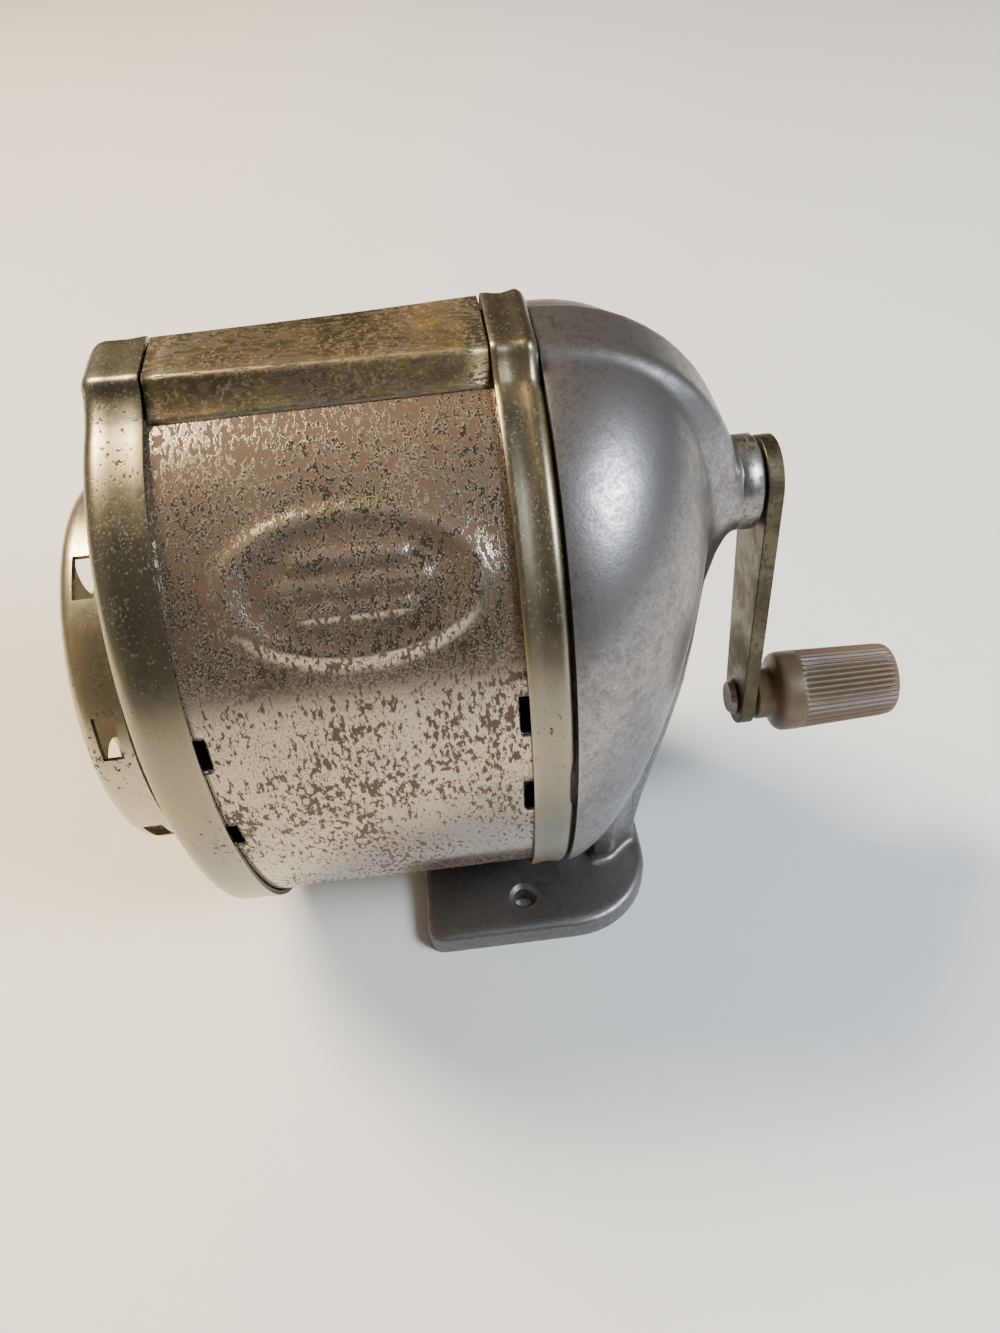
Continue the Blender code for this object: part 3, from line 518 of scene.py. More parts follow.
CAST_PAINT = CastPaint("silver_cast_paint")
CAST_INSIDE = WorkedSteel("raw_casting", (0.30, 0.295, 0.29, 1.0), (0.12, 0.11, 0.10, 1.0), 0.48, 0.5, 0.05)
DRUM_PLATE = PlatedSheet("peppered_plate", coverage=0.20, patchiness=0.42, speck_scale=1650.0, run=0.48,
                         polish=0.13, tarnish=0.16, crown=0.17, metal=(0.41, 0.355, 0.29, 1.0))
CHANNEL_PLATE = PlatedSheet("channel_plate", coverage=0.10, patchiness=0.5, speck_scale=620.0, run=3.2,
                            polish=0.30, tarnish=0.8, crown=0.06, metal=(0.185, 0.152, 0.095, 1.0),
                            rust=(0.060, 0.038, 0.022, 1.0))
BAND_PLATE = PlatedSheet("satin_plate", coverage=-0.24, patchiness=0.55, speck_scale=1300.0, run=0.9,
                         polish=0.26, tarnish=0.35, crown=0.13, metal=(0.215, 0.205, 0.165, 1.0))
DIAL_PLATE = PlatedSheet("dial_plate", coverage=-0.06, patchiness=0.6, speck_scale=1300.0, run=0.9,
                         polish=0.26, tarnish=0.6, metal=(0.44, 0.39, 0.28, 1.0))
ARM_STEEL = WorkedSteel("crank_steel", (0.12, 0.106, 0.07, 1.0), (0.06, 0.046, 0.026, 1.0), 0.36, 0.8, 0.24)
BOSS_STEEL = WorkedSteel("collar_steel", (0.27, 0.265, 0.25, 1.0), (0.13, 0.10, 0.045, 1.0), 0.28, 0.9, 0.22)
RIVET_STEEL = WorkedSteel("rivet_steel", (0.20, 0.17, 0.14, 1.0), (0.05, 0.034, 0.022, 1.0), 0.42, 0.8, 0.3)
CUTTER_STEEL = WorkedSteel("cutter_steel", (0.40, 0.40, 0.41, 1.0), (0.14, 0.13, 0.12, 1.0), 0.30, 0.5, 0.05)
CAGE_STEEL = WorkedSteel("cage_steel", (0.34, 0.33, 0.31, 1.0), (0.13, 0.115, 0.09, 1.0), 0.40, 0.6, 0.1)
SPRING_STEEL = WorkedSteel("spring_steel", (0.36, 0.36, 0.37, 1.0), (0.12, 0.10, 0.08, 1.0), 0.32, 0.4, 0.08)
TURNED_BRONZE = WorkedSteel("turned_bronze", (0.52, 0.33, 0.15, 1.0), (0.20, 0.12, 0.06, 1.0), 0.34, 0.5, 0.0)
HANDLE_BROWN = MouldedPlastic("handle_brown")
TABLE_PALE = PaleTable("pale_table")


# ------------------------------------------------------------------ mesh building

def new_object(name: str, data: bpy.types.Mesh, finish: Finish) -> bpy.types.Object:
    """Link a mesh as an object with one finish.

    Args:
        name: The piece's name.
        data: Its mesh.
        finish: Its finish.

    Returns:
        The linked object.
    """
    data.materials.append(finish.material())
    item = bpy.data.objects.new(name, data)
    bpy.context.scene.collection.objects.link(item)
    return item


def skin(name: str, rings: Sequence[Ring], finish: Finish, *, around: bool = True,
         ends: tuple[bool, bool] = (False, False),
         cut: Callable[[int, int], bool] | None = None) -> bpy.types.Object:
    """Skin a row of rings that have the same number of points.

    Args:
        name: The piece's name.
        rings: The rings in order.
        finish: The piece's finish.
        around: True where each ring closes on itself.
        ends: Whether the first and the last ring are filled.
        cut: Says which cells, by ring and point, are left open.

    Returns:
        The object.
    """
    shape = bmesh.new()
    rows = [[shape.verts.new(point) for point in ring] for ring in rings]
    count = len(rows[0])
    for level, (low, high) in enumerate(zip(rows, rows[1:])):
        for index in range(count if around else count - 1):
            if cut and cut(level, index):
                continue
            after = (index + 1) % count
            shape.faces.new((low[index], low[after], high[after], high[index]))
    if ends[0]:
        shape.faces.new(rows[0][::-1])
    if ends[1]:
        shape.faces.new(rows[-1])
    loose = [vert for vert in shape.verts if not vert.link_faces]
    bmesh.ops.delete(shape, geom=loose, context="VERTS")
    bmesh.ops.recalc_face_normals(shape, faces=shape.faces)
    data = bpy.data.meshes.new(name)
    shape.to_mesh(data)
    shape.free()
    data.shade_smooth()
    return new_object(name, data, finish)


def turned(name: str, profile: Sequence[Point], finish: Finish, centre: Vector, *, steps: int = 96,
           cut: Callable[[int, int], bool] | None = None, closed: bool = True) -> bpy.types.Object:
    """Turn a profile of (radius, x) points about an axis along X.

    Args:
        name: The piece's name.
        profile: The points in order.
        finish: The piece's finish.
        centre: A point on the axis; its x is not used.
        steps: Divisions round the axis.
        cut: Says which cells are left open.
        closed: True where the profile closes on itself.

    Returns:
        The object.
    """
    rings = []
    for radius, x in list(profile) + ([profile[0]] if closed else []):
        turns = (2 * math.pi * step / steps for step in range(steps))
        rings.append([Vector((x, centre.y + radius * math.sin(turn), centre.z + radius * math.cos(turn)))
                      for turn in turns])
    item = skin(name, rings, finish, cut=cut)
    weld(item)
    return item


def weld(item: bpy.types.Object, distance: float = 0.002 * MM) -> None:
    """Merge a mesh's coincident points and face it outwards."""
    shape = bmesh.new()
    shape.from_mesh(item.data)
    bmesh.ops.remove_doubles(shape, verts=shape.verts, dist=distance)
    bmesh.ops.recalc_face_normals(shape, faces=shape.faces)
    shape.to_mesh(item.data)
    shape.free()


def thicken(item: bpy.types.Object, thickness: float, even: bool = True) -> None:
    """Give a sheet its thickness, inwards from its skin.

    Args:
        item: The piece.
        thickness: The sheet's thickness in metres.
        even: True to keep the same thickness round corners.
    """
    step = item.modifiers.new("thickness", "SOLIDIFY")
    step.thickness = thickness
    step.offset = -1.0
    step.use_even_offset = even


def soften(item: bpy.types.Object, width: float, segments: int = 2, angle: float = 40.0) -> None:
    """Round a piece's sharp edges.

    Args:
        item: The piece.
        width: The rounding's width in metres.
        segments: Facets across the rounding.
        angle: The least angle in degrees that counts as sharp.
    """
    step = item.modifiers.new("edges", "BEVEL")
    step.width = width
    step.segments = segments
    step.limit_method = "ANGLE"
    step.angle_limit = math.radians(angle)
    step.use_clamp_overlap = True
    step.harden_normals = True


def settle(item: bpy.types.Object) -> bpy.types.Object:
    """Apply a piece's modifiers to its mesh."""
    bpy.context.view_layer.update()
    data = bpy.data.meshes.new_from_object(item.evaluated_get(bpy.context.evaluated_depsgraph_get()))
    item.modifiers.clear()
    item.data = data
    return item


def combine(item: bpy.types.Object, tool: bpy.types.Object, operation: str = "DIFFERENCE") -> None:
    """Cut a tool's solid from a piece, or add it, and remove the tool.

    Args:
        item: The piece.
        tool: The solid.
        operation: The Boolean's operation.
    """
    step = item.modifiers.new("cut", "BOOLEAN")
    step.operation = operation
    step.solver = "EXACT"
    step.object = tool
    settle(item)
    bpy.data.objects.remove(tool, do_unlink=True)


def fuse(item: bpy.types.Object, others: Sequence[bpy.types.Object], voxel: float, rounds: int) -> None:
    """Grow overlapping solids into one skin with soft fillets where they meet.

    Args:
        item: The solid that keeps its name.
        others: The solids that join it.
        voxel: The size of the new skin's cells in metres.
        rounds: How many times the skin is relaxed.
    """
    shape = bmesh.new()
    for solid in (item, *others):
        shape.from_mesh(solid.data)
    shape.to_mesh(item.data)
    shape.free()
    for solid in others:
        bpy.data.objects.remove(solid, do_unlink=True)
    grown = item.modifiers.new("skin", "REMESH")
    grown.mode = "VOXEL"
    grown.voxel_size = voxel
    relaxed = item.modifiers.new("relax", "SMOOTH")
    relaxed.factor = 0.5
    relaxed.iterations = rounds
    settle(item)
    item.data.shade_smooth()


def ride(item: bpy.types.Object, body: str, slot: str, *stands_for: str) -> bpy.types.Object:
    """Put a finished piece on its body and report it.

    Args:
        item: The piece.
        body: The body's name.
        slot: Not used.
        stands_for: CAD nodes that it replaces.

    Returns:
        The piece.
    """
    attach(item, body)
    if stands_for:
        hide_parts(*stands_for)
    LOG.info("%s rides on %s", item.name, body)
    return item


# ------------------------------------------------------------------ shared forms

@dataclass(frozen=True)
class DrumForm:
    """The oval that the drum, its bands and the dome share, and the ridge on top of it."""

    centre_z: float = 60.2 * MM
    half_width: float = 37.4 * MM
    upper: float = 43.3 * MM
    lower: float = 53.4 * MM
    front_x: float = -42.9 * MM
    band_outset: float = 1.09 * MM
    ridge_top: float = 106.7 * MM
    ridge_front: float = 5.6 * MM
    ridge_rear: float = 7.3 * MM
    ridge_foot: float = 8.3 * MM
    ridge_outset: float = 0.3 * MM

    def point(self, outset: float, turn: float, scale: float = 1.0) -> Point:
        """Return the oval's (y, z) at a turn in radians above the +Y side."""
        height = (self.upper if math.sin(turn) > 0 else self.lower) + outset
        across = (self.half_width + outset) * scale * math.cos(turn)
        return across, self.centre_z + height * scale * math.sin(turn)

    def oval(self, outset: float, scale: float = 1.0, steps: int = 128) -> list[Point]:
        """Return the whole oval's (y, z) points."""
        return [self.point(outset, 2 * math.pi * step / steps, scale) for step in range(steps)]

    def top_z(self, across: float, outset: float = 0.0) -> float:
        """Return the oval's height at a distance from its middle plane."""
        return self.centre_z + (self.upper + outset) * math.sqrt(1 - (across / (self.half_width + outset)) ** 2)

    def ridge(self, outset: float, x: float, foot: float, foot_z: float, round_by: float) -> list[Point]:
        """Return the ridge's +Y half from its middle to its foot, with rounded corners.

        Args:
            outset: How far outside the ridge.
            x: Where along the spindle.
            foot: The foot's distance from the middle plane.
            foot_z: The foot's height.
            round_by: The corner's radius.

        Returns:
            The (y, z) points.
        """
        share = x / self.front_x
        half = self.ridge_rear + share * (self.ridge_front - self.ridge_rear) + outset
        top = self.ridge_top + outset
        round_by = min(round_by, 0.7 * half)
        points = [(0.0, top), (half * 0.5, top)]
        for step in range(6):
            turn = math.radians(78) * step / 5
            points.append((half - round_by * (1 - math.sin(turn)), top - round_by * (1 - math.cos(turn))))
        last = points[-1]
        for share in (0.3, 0.6, 0.85):
            bulge = 0.10 * (foot - last[0]) * math.sin(math.pi * share)
            points.append((last[0] + share * (foot - last[0]) - bulge, last[1] + share * (foot_z - last[1])))
        points.append((foot, foot_z))
        return points

    def belt(self, outset: float, x: float, round_by: float = 1.5 * MM, steps: int = 60) -> list[Point]:
        """Return a band's whole (y, z) section over the ridge and round the oval."""
        foot = self.ridge_foot + outset + 0.4 * MM
        half = self.ridge(outset - self.band_outset + self.ridge_outset, x, foot,
                          self.top_z(foot, outset), round_by)
        first = math.acos(foot / (self.half_width + outset))
        half += [self.point(outset, first - (first + math.pi / 2) * step / steps)
                 for step in range(1, steps + 1)]
        return half + [(-across, up) for across, up in reversed(half[1:-1])]


FORM = DrumForm()


def at_x(x: float, section: Sequence[Point]) -> Ring:
    """Return a (y, z) section as points at x."""
    return [Vector((x, across, up)) for across, up in section]


# ------------------------------------------------------------------ sub-assemblies

@dataclass
class Housing:
    """The one-piece casting: dome, spine, leg, foot, boss, mouth lip and gear sleeve."""

    mouth_x: float = 6.2 * MM
    dome_depth: float = 24.8 * MM
    dome_power: float = 1.72
    dome_rise: float = 17.1 * MM
    rise_power: float = 1.5
    wall: float = 2.5 * MM
    spindle_z: float = 77.3 * MM
    boss_radius: float = 7.0 * MM
    boss_end: float = 38.6 * MM
    spine_top: float = 105.2 * MM
    spine_rear: float = 35.1 * MM
    foot_thickness: float = 4.5 * MM
    foot_front: float = -20.0 * MM
    foot_rear: float = 23.6 * MM
    foot_half: float = 31.0 * MM
    foot_small: float = 3.0 * MM
    foot_large: float = 15.5 * MM
    hole_radius: float = 1.9 * MM
    sink_radius: float = 2.7 * MM
    holes: tuple[Point, ...] = ((-1.1 * MM, -23.4 * MM), (-1.1 * MM, 23.4 * MM), (-14.5 * MM, 0.0))
    leg_rows: tuple[tuple[float, float, float], ...] = (
        (62.0, 32.3, 5.6), (50.0, 31.9, 5.8), (40.0, 30.9, 6.6), (31.0, 29.0, 7.8), (22.0, 26.4, 9.6),
        (15.0, 24.2, 11.4), (9.0, 22.8, 12.8), (4.0, 22.2, 13.8), (1.0, 22.0, 14.2))
    voxel: float = 0.55 * MM
    trim: float = 1.2 * MM

    def dome(self, inset: float, levels: int, finish: Finish, front: float) -> bpy.types.Object:
        """Build the dome as a closed solid.

        Args:
            inset: How far inside the outer skin.
            levels: Sections from mouth to crown.
            finish: Its finish.
            front: Where its open end is closed off.

        Returns:
            The solid.
        """
        depth = self.dome_depth - inset
        rings = [at_x(front, FORM.oval(FORM.band_outset - inset))]
        for level in range(1, levels + 1):
            turn = math.radians(86) * level / levels
            along = math.sin(turn) ** (2 / self.dome_power)
            scale = math.cos(turn) ** (2 / self.dome_power)
            lift = Vector((0.0, 0.0, self.dome_rise * along ** self.rise_power))
            ring = at_x(self.mouth_x + depth * along, FORM.oval(FORM.band_outset - inset, scale))
            rings.append([point + lift for point in ring])
        return skin("dome_solid", rings, finish, ends=(True, True))

    def spine_path(self) -> list[tuple[float, float, float]]:
        """Return (x, z, half width) along the rib's crest, over the dome and down the leg."""
        front = self.mouth_x + 1.0 * MM
        reach = self.spine_rear - front
        drop = self.spine_top - self.spindle_z
        path = [(self.mouth_x - self.trim, self.spine_top, 6.6 * MM)]
        for step in range(15):
            turn = math.pi / 2 * (1 - step / 14)
            path.append((front + reach * math.cos(turn), self.spindle_z + drop * math.sin(turn), 6.6 * MM))
        path.append((self.spine_rear - 0.5 * MM, self.spindle_z - 4.5 * MM, 6.3 * MM))
        path.append((self.spine_rear - 1.8 * MM, self.spindle_z - 9.0 * MM, 5.9 * MM))
        path += [(x * MM, z * MM, half * MM) for z, x, half in self.leg_rows]
        return path

    def spine(self) -> bpy.types.Object:
        """Build the rib that runs over the dome, past the boss and down into the foot."""
        path = self.spine_path()
        rings = []
        for index, (x, z, half) in enumerate(path):
            before = path[max(index - 1, 0)]
            after = path[min(index + 1, len(path) - 1)]
            along = Vector((after[0] - before[0], 0.0, after[1] - before[1])).normalized()
            if index == 0:
                along = Vector((1.0, 0.0, 0.0))
            if index == len(path) - 1:
                along = Vector((0.0, 0.0, -1.0))
            inward = Vector((-along.z, 0.0, along.x))
            if inward.dot(Vector((10.0 * MM - x, 0.0, 60.0 * MM - z))) < 0:
                inward.negate()
            flare = half + 3.4 * MM
            side = [(half - 2.2 * MM, 0.0), (half - 1.1 * MM, 0.15 * MM), (half - 0.3 * MM, 0.6 * MM),
                    (half + 0.2 * MM, 1.4 * MM), (half + 1.0 * MM, 2.8 * MM), (flare, 5.4 * MM),
                    (flare + 0.3 * MM, 9.0 * MM)]
            outline = side + [(-across, deep) for across, deep in reversed(side)]
            rings.append([Vector((x, across, z)) + inward * deep for across, deep in outline])
        item = skin("spine_solid", rings, CAST_PAINT, ends=(True, True))
        return item

    def pedestal(self) -> bpy.types.Object:
        """Build the block that fills the leg's front, between the dome's underside and the foot."""
        rows = ((1.0, 8.0, 17.0, 14.6), (9.0, 8.0, 17.0, 13.6), (20.0, 8.0, 20.0, 11.6), (36.0, 14.0, 24.0, 8.4))
        rings = []
        for z, front, rear, half in rows:
            corners = ((front, half), (rear, half), (rear, -half), (front, -half))
            rings.append([Vector((x * MM, y * MM, z * MM)) for x, y in corners])
        return skin("pedestal_solid", rings, CAST_PAINT, ends=(True, True))

    def foot_outline(self, inset: float) -> list[Point]:
        """Return the foot's (x, y) outline, drawn in by inset."""
        half = self.foot_half - inset
        corners = ((self.foot_front + inset, -half, self.foot_small, 180), (self.foot_rear - inset, -half, self.foot_large, 270),
                   (self.foot_rear - inset, half, self.foot_large, 0), (self.foot_front + inset, half, self.foot_small, 90))
        points = []
        for x, y, radius, start in corners:
            radius = max(radius - inset, 0.5 * MM)
            centre_x = x + radius if x < 0 else x - radius
            centre_y = y + radius if y < 0 else y - radius
            for step in range(13):
                turn = math.radians(start + 90 * step / 12)
                points.append((centre_x + radius * math.cos(turn), centre_y + radius * math.sin(turn)))
        return points

    def foot(self) -> bpy.types.Object:
        """Build the foot's slab with a rounded upper edge."""
        levels = ((-1.2, 0.0), (1.0, 0.0), (3.2, 0.0), (3.8, 0.15), (4.25, 0.55), (4.5, 1.3))
        rings = []
        for height, inset in levels:
            rings.append([Vector((x, y, height * MM)) for x, y in self.foot_outline(inset * MM)])
        return skin("foot_solid", rings, CAST_PAINT, ends=(True, True))

    def boss(self) -> bpy.types.Object:
        """Build the boss that carries the spindle, flared where it leaves the dome."""
        profile = [(0.0, 20.0 * MM), (8.8 * MM, 20.0 * MM), (8.4 * MM, 32.4 * MM), (7.6 * MM, 33.8 * MM),
                   (7.0 * MM, 35.0 * MM), (self.boss_radius - 0.4 * MM, 38.0 * MM),
                   (self.boss_radius - 0.4 * MM, self.boss_end - 0.2 * MM), (0.0, self.boss_end - 0.2 * MM)]
        return turned("boss_solid", profile, CAST_PAINT, Vector((0, 0, self.spindle_z)), closed=False)

    def block(self, low: Sequence[float], high: Sequence[float]) -> bpy.types.Object:
        """Return a block between two corners, used to trim the casting flat."""
        section = [(low[1], low[2]), (high[1], low[2]), (high[1], high[2]), (low[1], high[2])]
        return skin("trim_solid", [at_x(low[0], section), at_x(high[0], section)], CAST_PAINT,
                    ends=(True, True))

    def screw_cutter(self, x: float, y: float) -> bpy.types.Object:
        """Return one countersunk hole's solid."""
        deep = self.sink_radius - self.hole_radius
        levels = ((-3.0 * MM, self.hole_radius), (self.foot_thickness - deep, self.hole_radius),
                  (self.foot_thickness + 0.02 * MM, self.sink_radius), (9.0 * MM, self.sink_radius + 0.6 * MM))
        rings = []
        for z, radius in levels:
            turns = (2 * math.pi * step / 32 for step in range(32))
            rings.append([Vector((x + radius * math.cos(turn), y + radius * math.sin(turn), z)) for turn in turns])
        return skin("hole_solid", rings, CAST_INSIDE, ends=(True, True))

    def build_casting(self) -> None:
        """Build and dress the outer casting."""
        body = self.dome(-0.06 * MM, 26, CAST_PAINT, self.mouth_x - self.trim)
        fuse(body, (self.spine(), self.pedestal(), self.foot(), self.boss()), self.voxel, 9)
        wide, below, far = 45 * MM, 5.2 * MM, 120 * MM
        combine(body, self.block((-5 * MM, -wide, below), (self.mouth_x, wide, far)))
        combine(body, self.block((-30 * MM, -wide, -5 * MM), (40 * MM, wide, 0.0)))
        combine(body, self.dome(self.wall, 14, CAST_INSIDE, self.mouth_x - 2 * MM))
        bore = turned("bore_solid", [(0.0, 10 * MM), (5.9 * MM, 10 * MM), (5.9 * MM, 60 * MM), (0.0, 60 * MM)],
                      CAST_INSIDE, Vector((0, 0, self.spindle_z)), steps=48, closed=False)
        combine(body, bore)
        for x, y in self.holes:
            combine(body, self.screw_cutter(x, y))
        body.name = "casting_shell"
        body.data.shade_smooth()
        body.data.set_sharp_from_angle(angle=math.radians(42))
        ride(body, "housing", "hammered_grey", "housing_casting")

    def build_inside(self) -> None:
        """Build the mouth lip, the gear sleeve with its web, and the two ribs."""
        outset = -0.9 * MM
        rows = ((2.2, 0.5), (2.45, 0.1), (3.0, 0.0), (8.2, 0.0))
        rings = [at_x(x * MM, FORM.oval(outset - inset * MM)) for x, inset in rows]
        lip = skin("mouth_lip", rings, CAST_INSIDE)
        thicken(lip, 2.0 * MM)
        ride(lip, "housing", "hammered_grey")
        low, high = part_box("ring_gear")
        bore = (high.z - low.z) / 2 + 0.25 * MM
        front, rear = low.x, high.x + 0.25 * MM
        sleeve = [(5.9 * MM, 19.5 * MM), (17.2 * MM, 19.5 * MM), (17.8 * MM, 18.9 * MM),
                  (17.8 * MM, front + 0.5 * MM), (17.3 * MM, front), (bore, front), (bore, rear),
                  (12.9 * MM, rear), (12.9 * MM, 17.0 * MM), (5.9 * MM, 17.0 * MM)]
        drum = turned("gear_sleeve", sleeve, CAST_INSIDE, Vector((0, 0, self.spindle_z)))
        soften(drum, 0.3 * MM)
        ride(drum, "housing", "hammered_grey")
        for side, word in ((-1, "near"), (1, "far")):
            rows = ((8.0, 1.0), (9.0, 1.25), (16.0, 1.4))
            rings = []
            for x, half in rows:
                corners = ((17.0, half), (28.0, half * 1.2), (28.0, -half * 1.2), (17.0, -half))
                rings.append([Vector((x * MM, side * y * MM, self.spindle_z + z * MM)) for y, z in corners])
            rib = skin(f"sleeve_rib_{word}", rings, CAST_INSIDE, ends=(True, True))
            soften(rib, 0.4 * MM)
            ride(rib, "housing", "hammered_grey")

    def build_collar(self) -> None:
        """Build the bright steel collar that shows on the boss beside the crank."""
        radius = self.boss_radius
        profile = [(5.9 * MM, self.boss_end), (radius - 0.5 * MM, self.boss_end),
                   (radius, self.boss_end - 0.5 * MM), (radius, self.boss_end - 3.3 * MM),
                   (radius - 0.3 * MM, self.boss_end - 3.8 * MM), (5.9 * MM, self.boss_end - 3.8 * MM)]
        collar = turned("boss_collar", profile, BOSS_STEEL, Vector((0, 0, self.spindle_z)))
        ride(collar, "housing", "old_steel")

    def dress_nodes(self) -> None:
        """Give the CAD pieces of this body their finishes."""
        dress(("ring_gear", "drum_catch_near", "drum_catch_far", "catch_rivet_near", "catch_rivet_far"),
              SPRING_STEEL)
        dress(("spindle_bushing",), TURNED_BRONZE)

    def build(self) -> None:
        """Build every piece that rides on the housing."""
        self.build_casting()
        self.build_inside()
        self.build_collar()
        self.dress_nodes()


def dress(nodes: Sequence[str], finish: Finish) -> None:
    """Give CAD nodes a finish without touching their meshes.

    Args:
        nodes: The nodes' names.
        finish: Their finish.
    """
    for name in nodes:
        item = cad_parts[name]
        item.data.materials.clear()
        item.data.materials.append(finish.material())
        LOG.info("%s keeps its mesh", name)


@dataclass
class Drum:
    """The chip drum: pressed sheet, top channel, front cap and rear band."""

    sheet: float = 0.6 * MM
    band: float = 0.8 * MM
    lap: float = 1.7 * MM
    cap_depth: float = 8.0 * MM
    band_length: float = 5.9 * MM
    slot_depth: float = 1.3 * MM
    rear_slots: tuple[Point, ...] = ((11.0, 19.0), (-9.0, -1.0))
    front_slots: tuple[Point, ...] = ((12.0, 18.5), (-9.0, -3.5))
    seam_slot: Point = (-8.5, 2.0)
    bead_x: float = -20.0 * MM
    bead_turn: float = 43.0
    bead_long: float = 15.5 * MM
    bead_wide: float = 8.5 * MM
    bead_high: float = 0.62 * MM

    def ornament(self, x: float, along: float) -> float:
        """Return how far the pressed ornament lifts the sheet: an oval bead round three plain bars.

        Args:
            x: Place along the spindle.
            along: Distance round the drum from the ornament's middle.

        Returns:
            The lift in metres.
        """
        across = (x - self.bead_x) / self.bead_long
        round_it = along / self.bead_wide
        radius = math.hypot(across, round_it)
        edge = (radius - 1.0) * self.bead_wide / (1.05 * MM)
        lift = math.exp(-edge * edge)
        for bar in (-0.36, 0.0, 0.36):
            off = (round_it - bar) * self.bead_wide / (0.9 * MM)
            reach = 0.62 - abs(bar) * 0.45
            fade = 1.0 / (1.0 + math.exp((abs(across) - reach) * 38.0))
            lift = max(lift, fade * math.exp(-off * off))
        return lift * self.bead_high

    def in_slot(self, turn: float, slots: Sequence[Point]) -> bool:
        """Return whether a turn in degrees, mirrored to one side, lies in one of the slots."""
        return any(low <= turn <= high for low, high in slots)

    def side_turn(self, y: float, z: float) -> float:
        """Return a point's turn in degrees above the side of the oval."""
        height = FORM.upper if z > FORM.centre_z else FORM.lower
        return math.degrees(math.atan2((z - FORM.centre_z) / height, abs(y) / FORM.half_width))

    def build_sheet(self) -> None:
        """Build the wrapped sheet with its pressed ornament and its slots."""
        start = math.acos(7.0 * MM / FORM.half_width)
        steps = 300
        span = 2 * (start + math.pi / 2)
        turns = [start - span * step / steps for step in range(steps + 1)]
        columns = 110
        low = FORM.front_x - self.lap
        length = self.lap * 2 - FORM.front_x
        bead = math.radians(self.bead_turn)
        rings = []
        for column in range(columns + 1):
            x = low + length * column / columns
            ring = []
            for turn in turns:
                across, up = FORM.point(0.0, turn)
                mirrored = turn if turn > -math.pi / 2 else -math.pi - turn
                offset = (mirrored - bead) * 0.5 * (FORM.half_width + FORM.upper)
                lift = self.ornament(x, offset)
                way = Vector((0.0, across / FORM.half_width ** 2, (up - FORM.centre_z) / FORM.upper ** 2))
                ring.append(Vector((x, across, up)) + way.normalized() * lift)
            rings.append(ring)

        def cut(level: int, index: int) -> bool:
            """Leave open the slots beside the two bands."""
            x = low + length * (level + 0.5) / columns
            middle = (rings[level][index] + rings[level][index + 1]) / 2
            turn = self.side_turn(middle.y, middle.z)
            rear = -self.slot_depth < x < 0.5 * MM and self.in_slot(turn, self.rear_slots)
            near_cap = FORM.front_x - 0.5 * MM < x < FORM.front_x + self.slot_depth
            return rear or (near_cap and self.in_slot(turn, self.front_slots))

        sheet = skin("drum_skin", rings, DRUM_PLATE, around=False, cut=cut)
        thicken(sheet, self.sheet)
        ride(sheet, "drum", "peppered_nickel", "drum_sheet")

    def build_channel(self) -> None:
        """Build the folded channel with its rounded corners and turned-out feet."""
        low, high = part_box("top_channel")
        inner = 0.5 * MM
        places = ((low.x, -1.3 * MM), (FORM.front_x, -1.3 * MM), (FORM.front_x + inner * 0.7, 0.0),
                  (-inner * 0.7, 0.0), (0.0, -1.3 * MM), (high.x, -1.3 * MM))
        rings = []
        for index, (x, outset) in enumerate(places):
            following = places[min(index + 1, len(places) - 1)]
            pieces = 14 if index == 2 else 1
            for piece in range(pieces):
                share = piece / pieces
                here = x + share * (following[0] - x)
                sag = 0.12 * MM * math.sin(math.pi * share) if index == 2 else 0.0
                foot = FORM.ridge_foot + outset + 0.5 * MM
                foot_z = FORM.top_z(foot) + 0.12 * MM
                half = FORM.ridge(outset - sag, here, foot, foot_z, 1.0 * MM)
                section = [(-across, up) for across, up in reversed(half[1:])] + half
                rings.append(at_x(here, section))
        channel = skin("ridge_channel", rings, CHANNEL_PLATE, around=False)
        thicken(channel, 0.55 * MM)
        ride(channel, "drum", "peppered_nickel", "top_channel")

    def belt_rings(self, rows: Sequence[Point], start: float) -> list[Ring]:
        """Return rings of a band from rows of (distance from start, inset) in mm."""
        rings = []
        for along, inset in rows:
            x = start + along * MM
            rings.append(at_x(x, FORM.belt(FORM.band_outset - inset * MM, x)))
        return rings

    def build_cap(self) -> None:
        """Build the cupped front cap with its rounded front edge and two holes."""
        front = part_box("front_cap")[0].x
        rows = [(0.0, 2.9), (0.06, 2.3), (0.26, 1.65), (0.62, 1.0), (1.15, 0.5), (1.8, 0.15), (2.6, 0.0),
                (4.0, 0.05), (5.6, 0.10), (6.7, 0.05), (7.6, 0.0), (8.0, 0.04)]
        rings = self.belt_rings(rows, front)
        cap = skin("cap_cup", rings, BAND_PLATE, ends=(True, False))
        thicken(cap, self.band, even=False)
        settle(cap)
        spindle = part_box("entry_ferrule")
        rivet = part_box("dial_rivet")
        for name, node, radius in (("pencil", spindle, 6.2 * MM), ("rivet", rivet, 2.4 * MM)):
            middle = (node[0] + node[1]) / 2
            profile = [(0.0, front - 3 * MM), (radius, front - 3 * MM), (radius, front + 3 * MM), (0.0, front + 3 * MM)]
            combine(cap, turned(f"{name}_hole_solid", profile, BAND_PLATE, middle, steps=48, closed=False))
        cap.data.set_sharp_from_angle(angle=math.radians(48))
        ride(cap, "drum", "nickel", "front_cap")

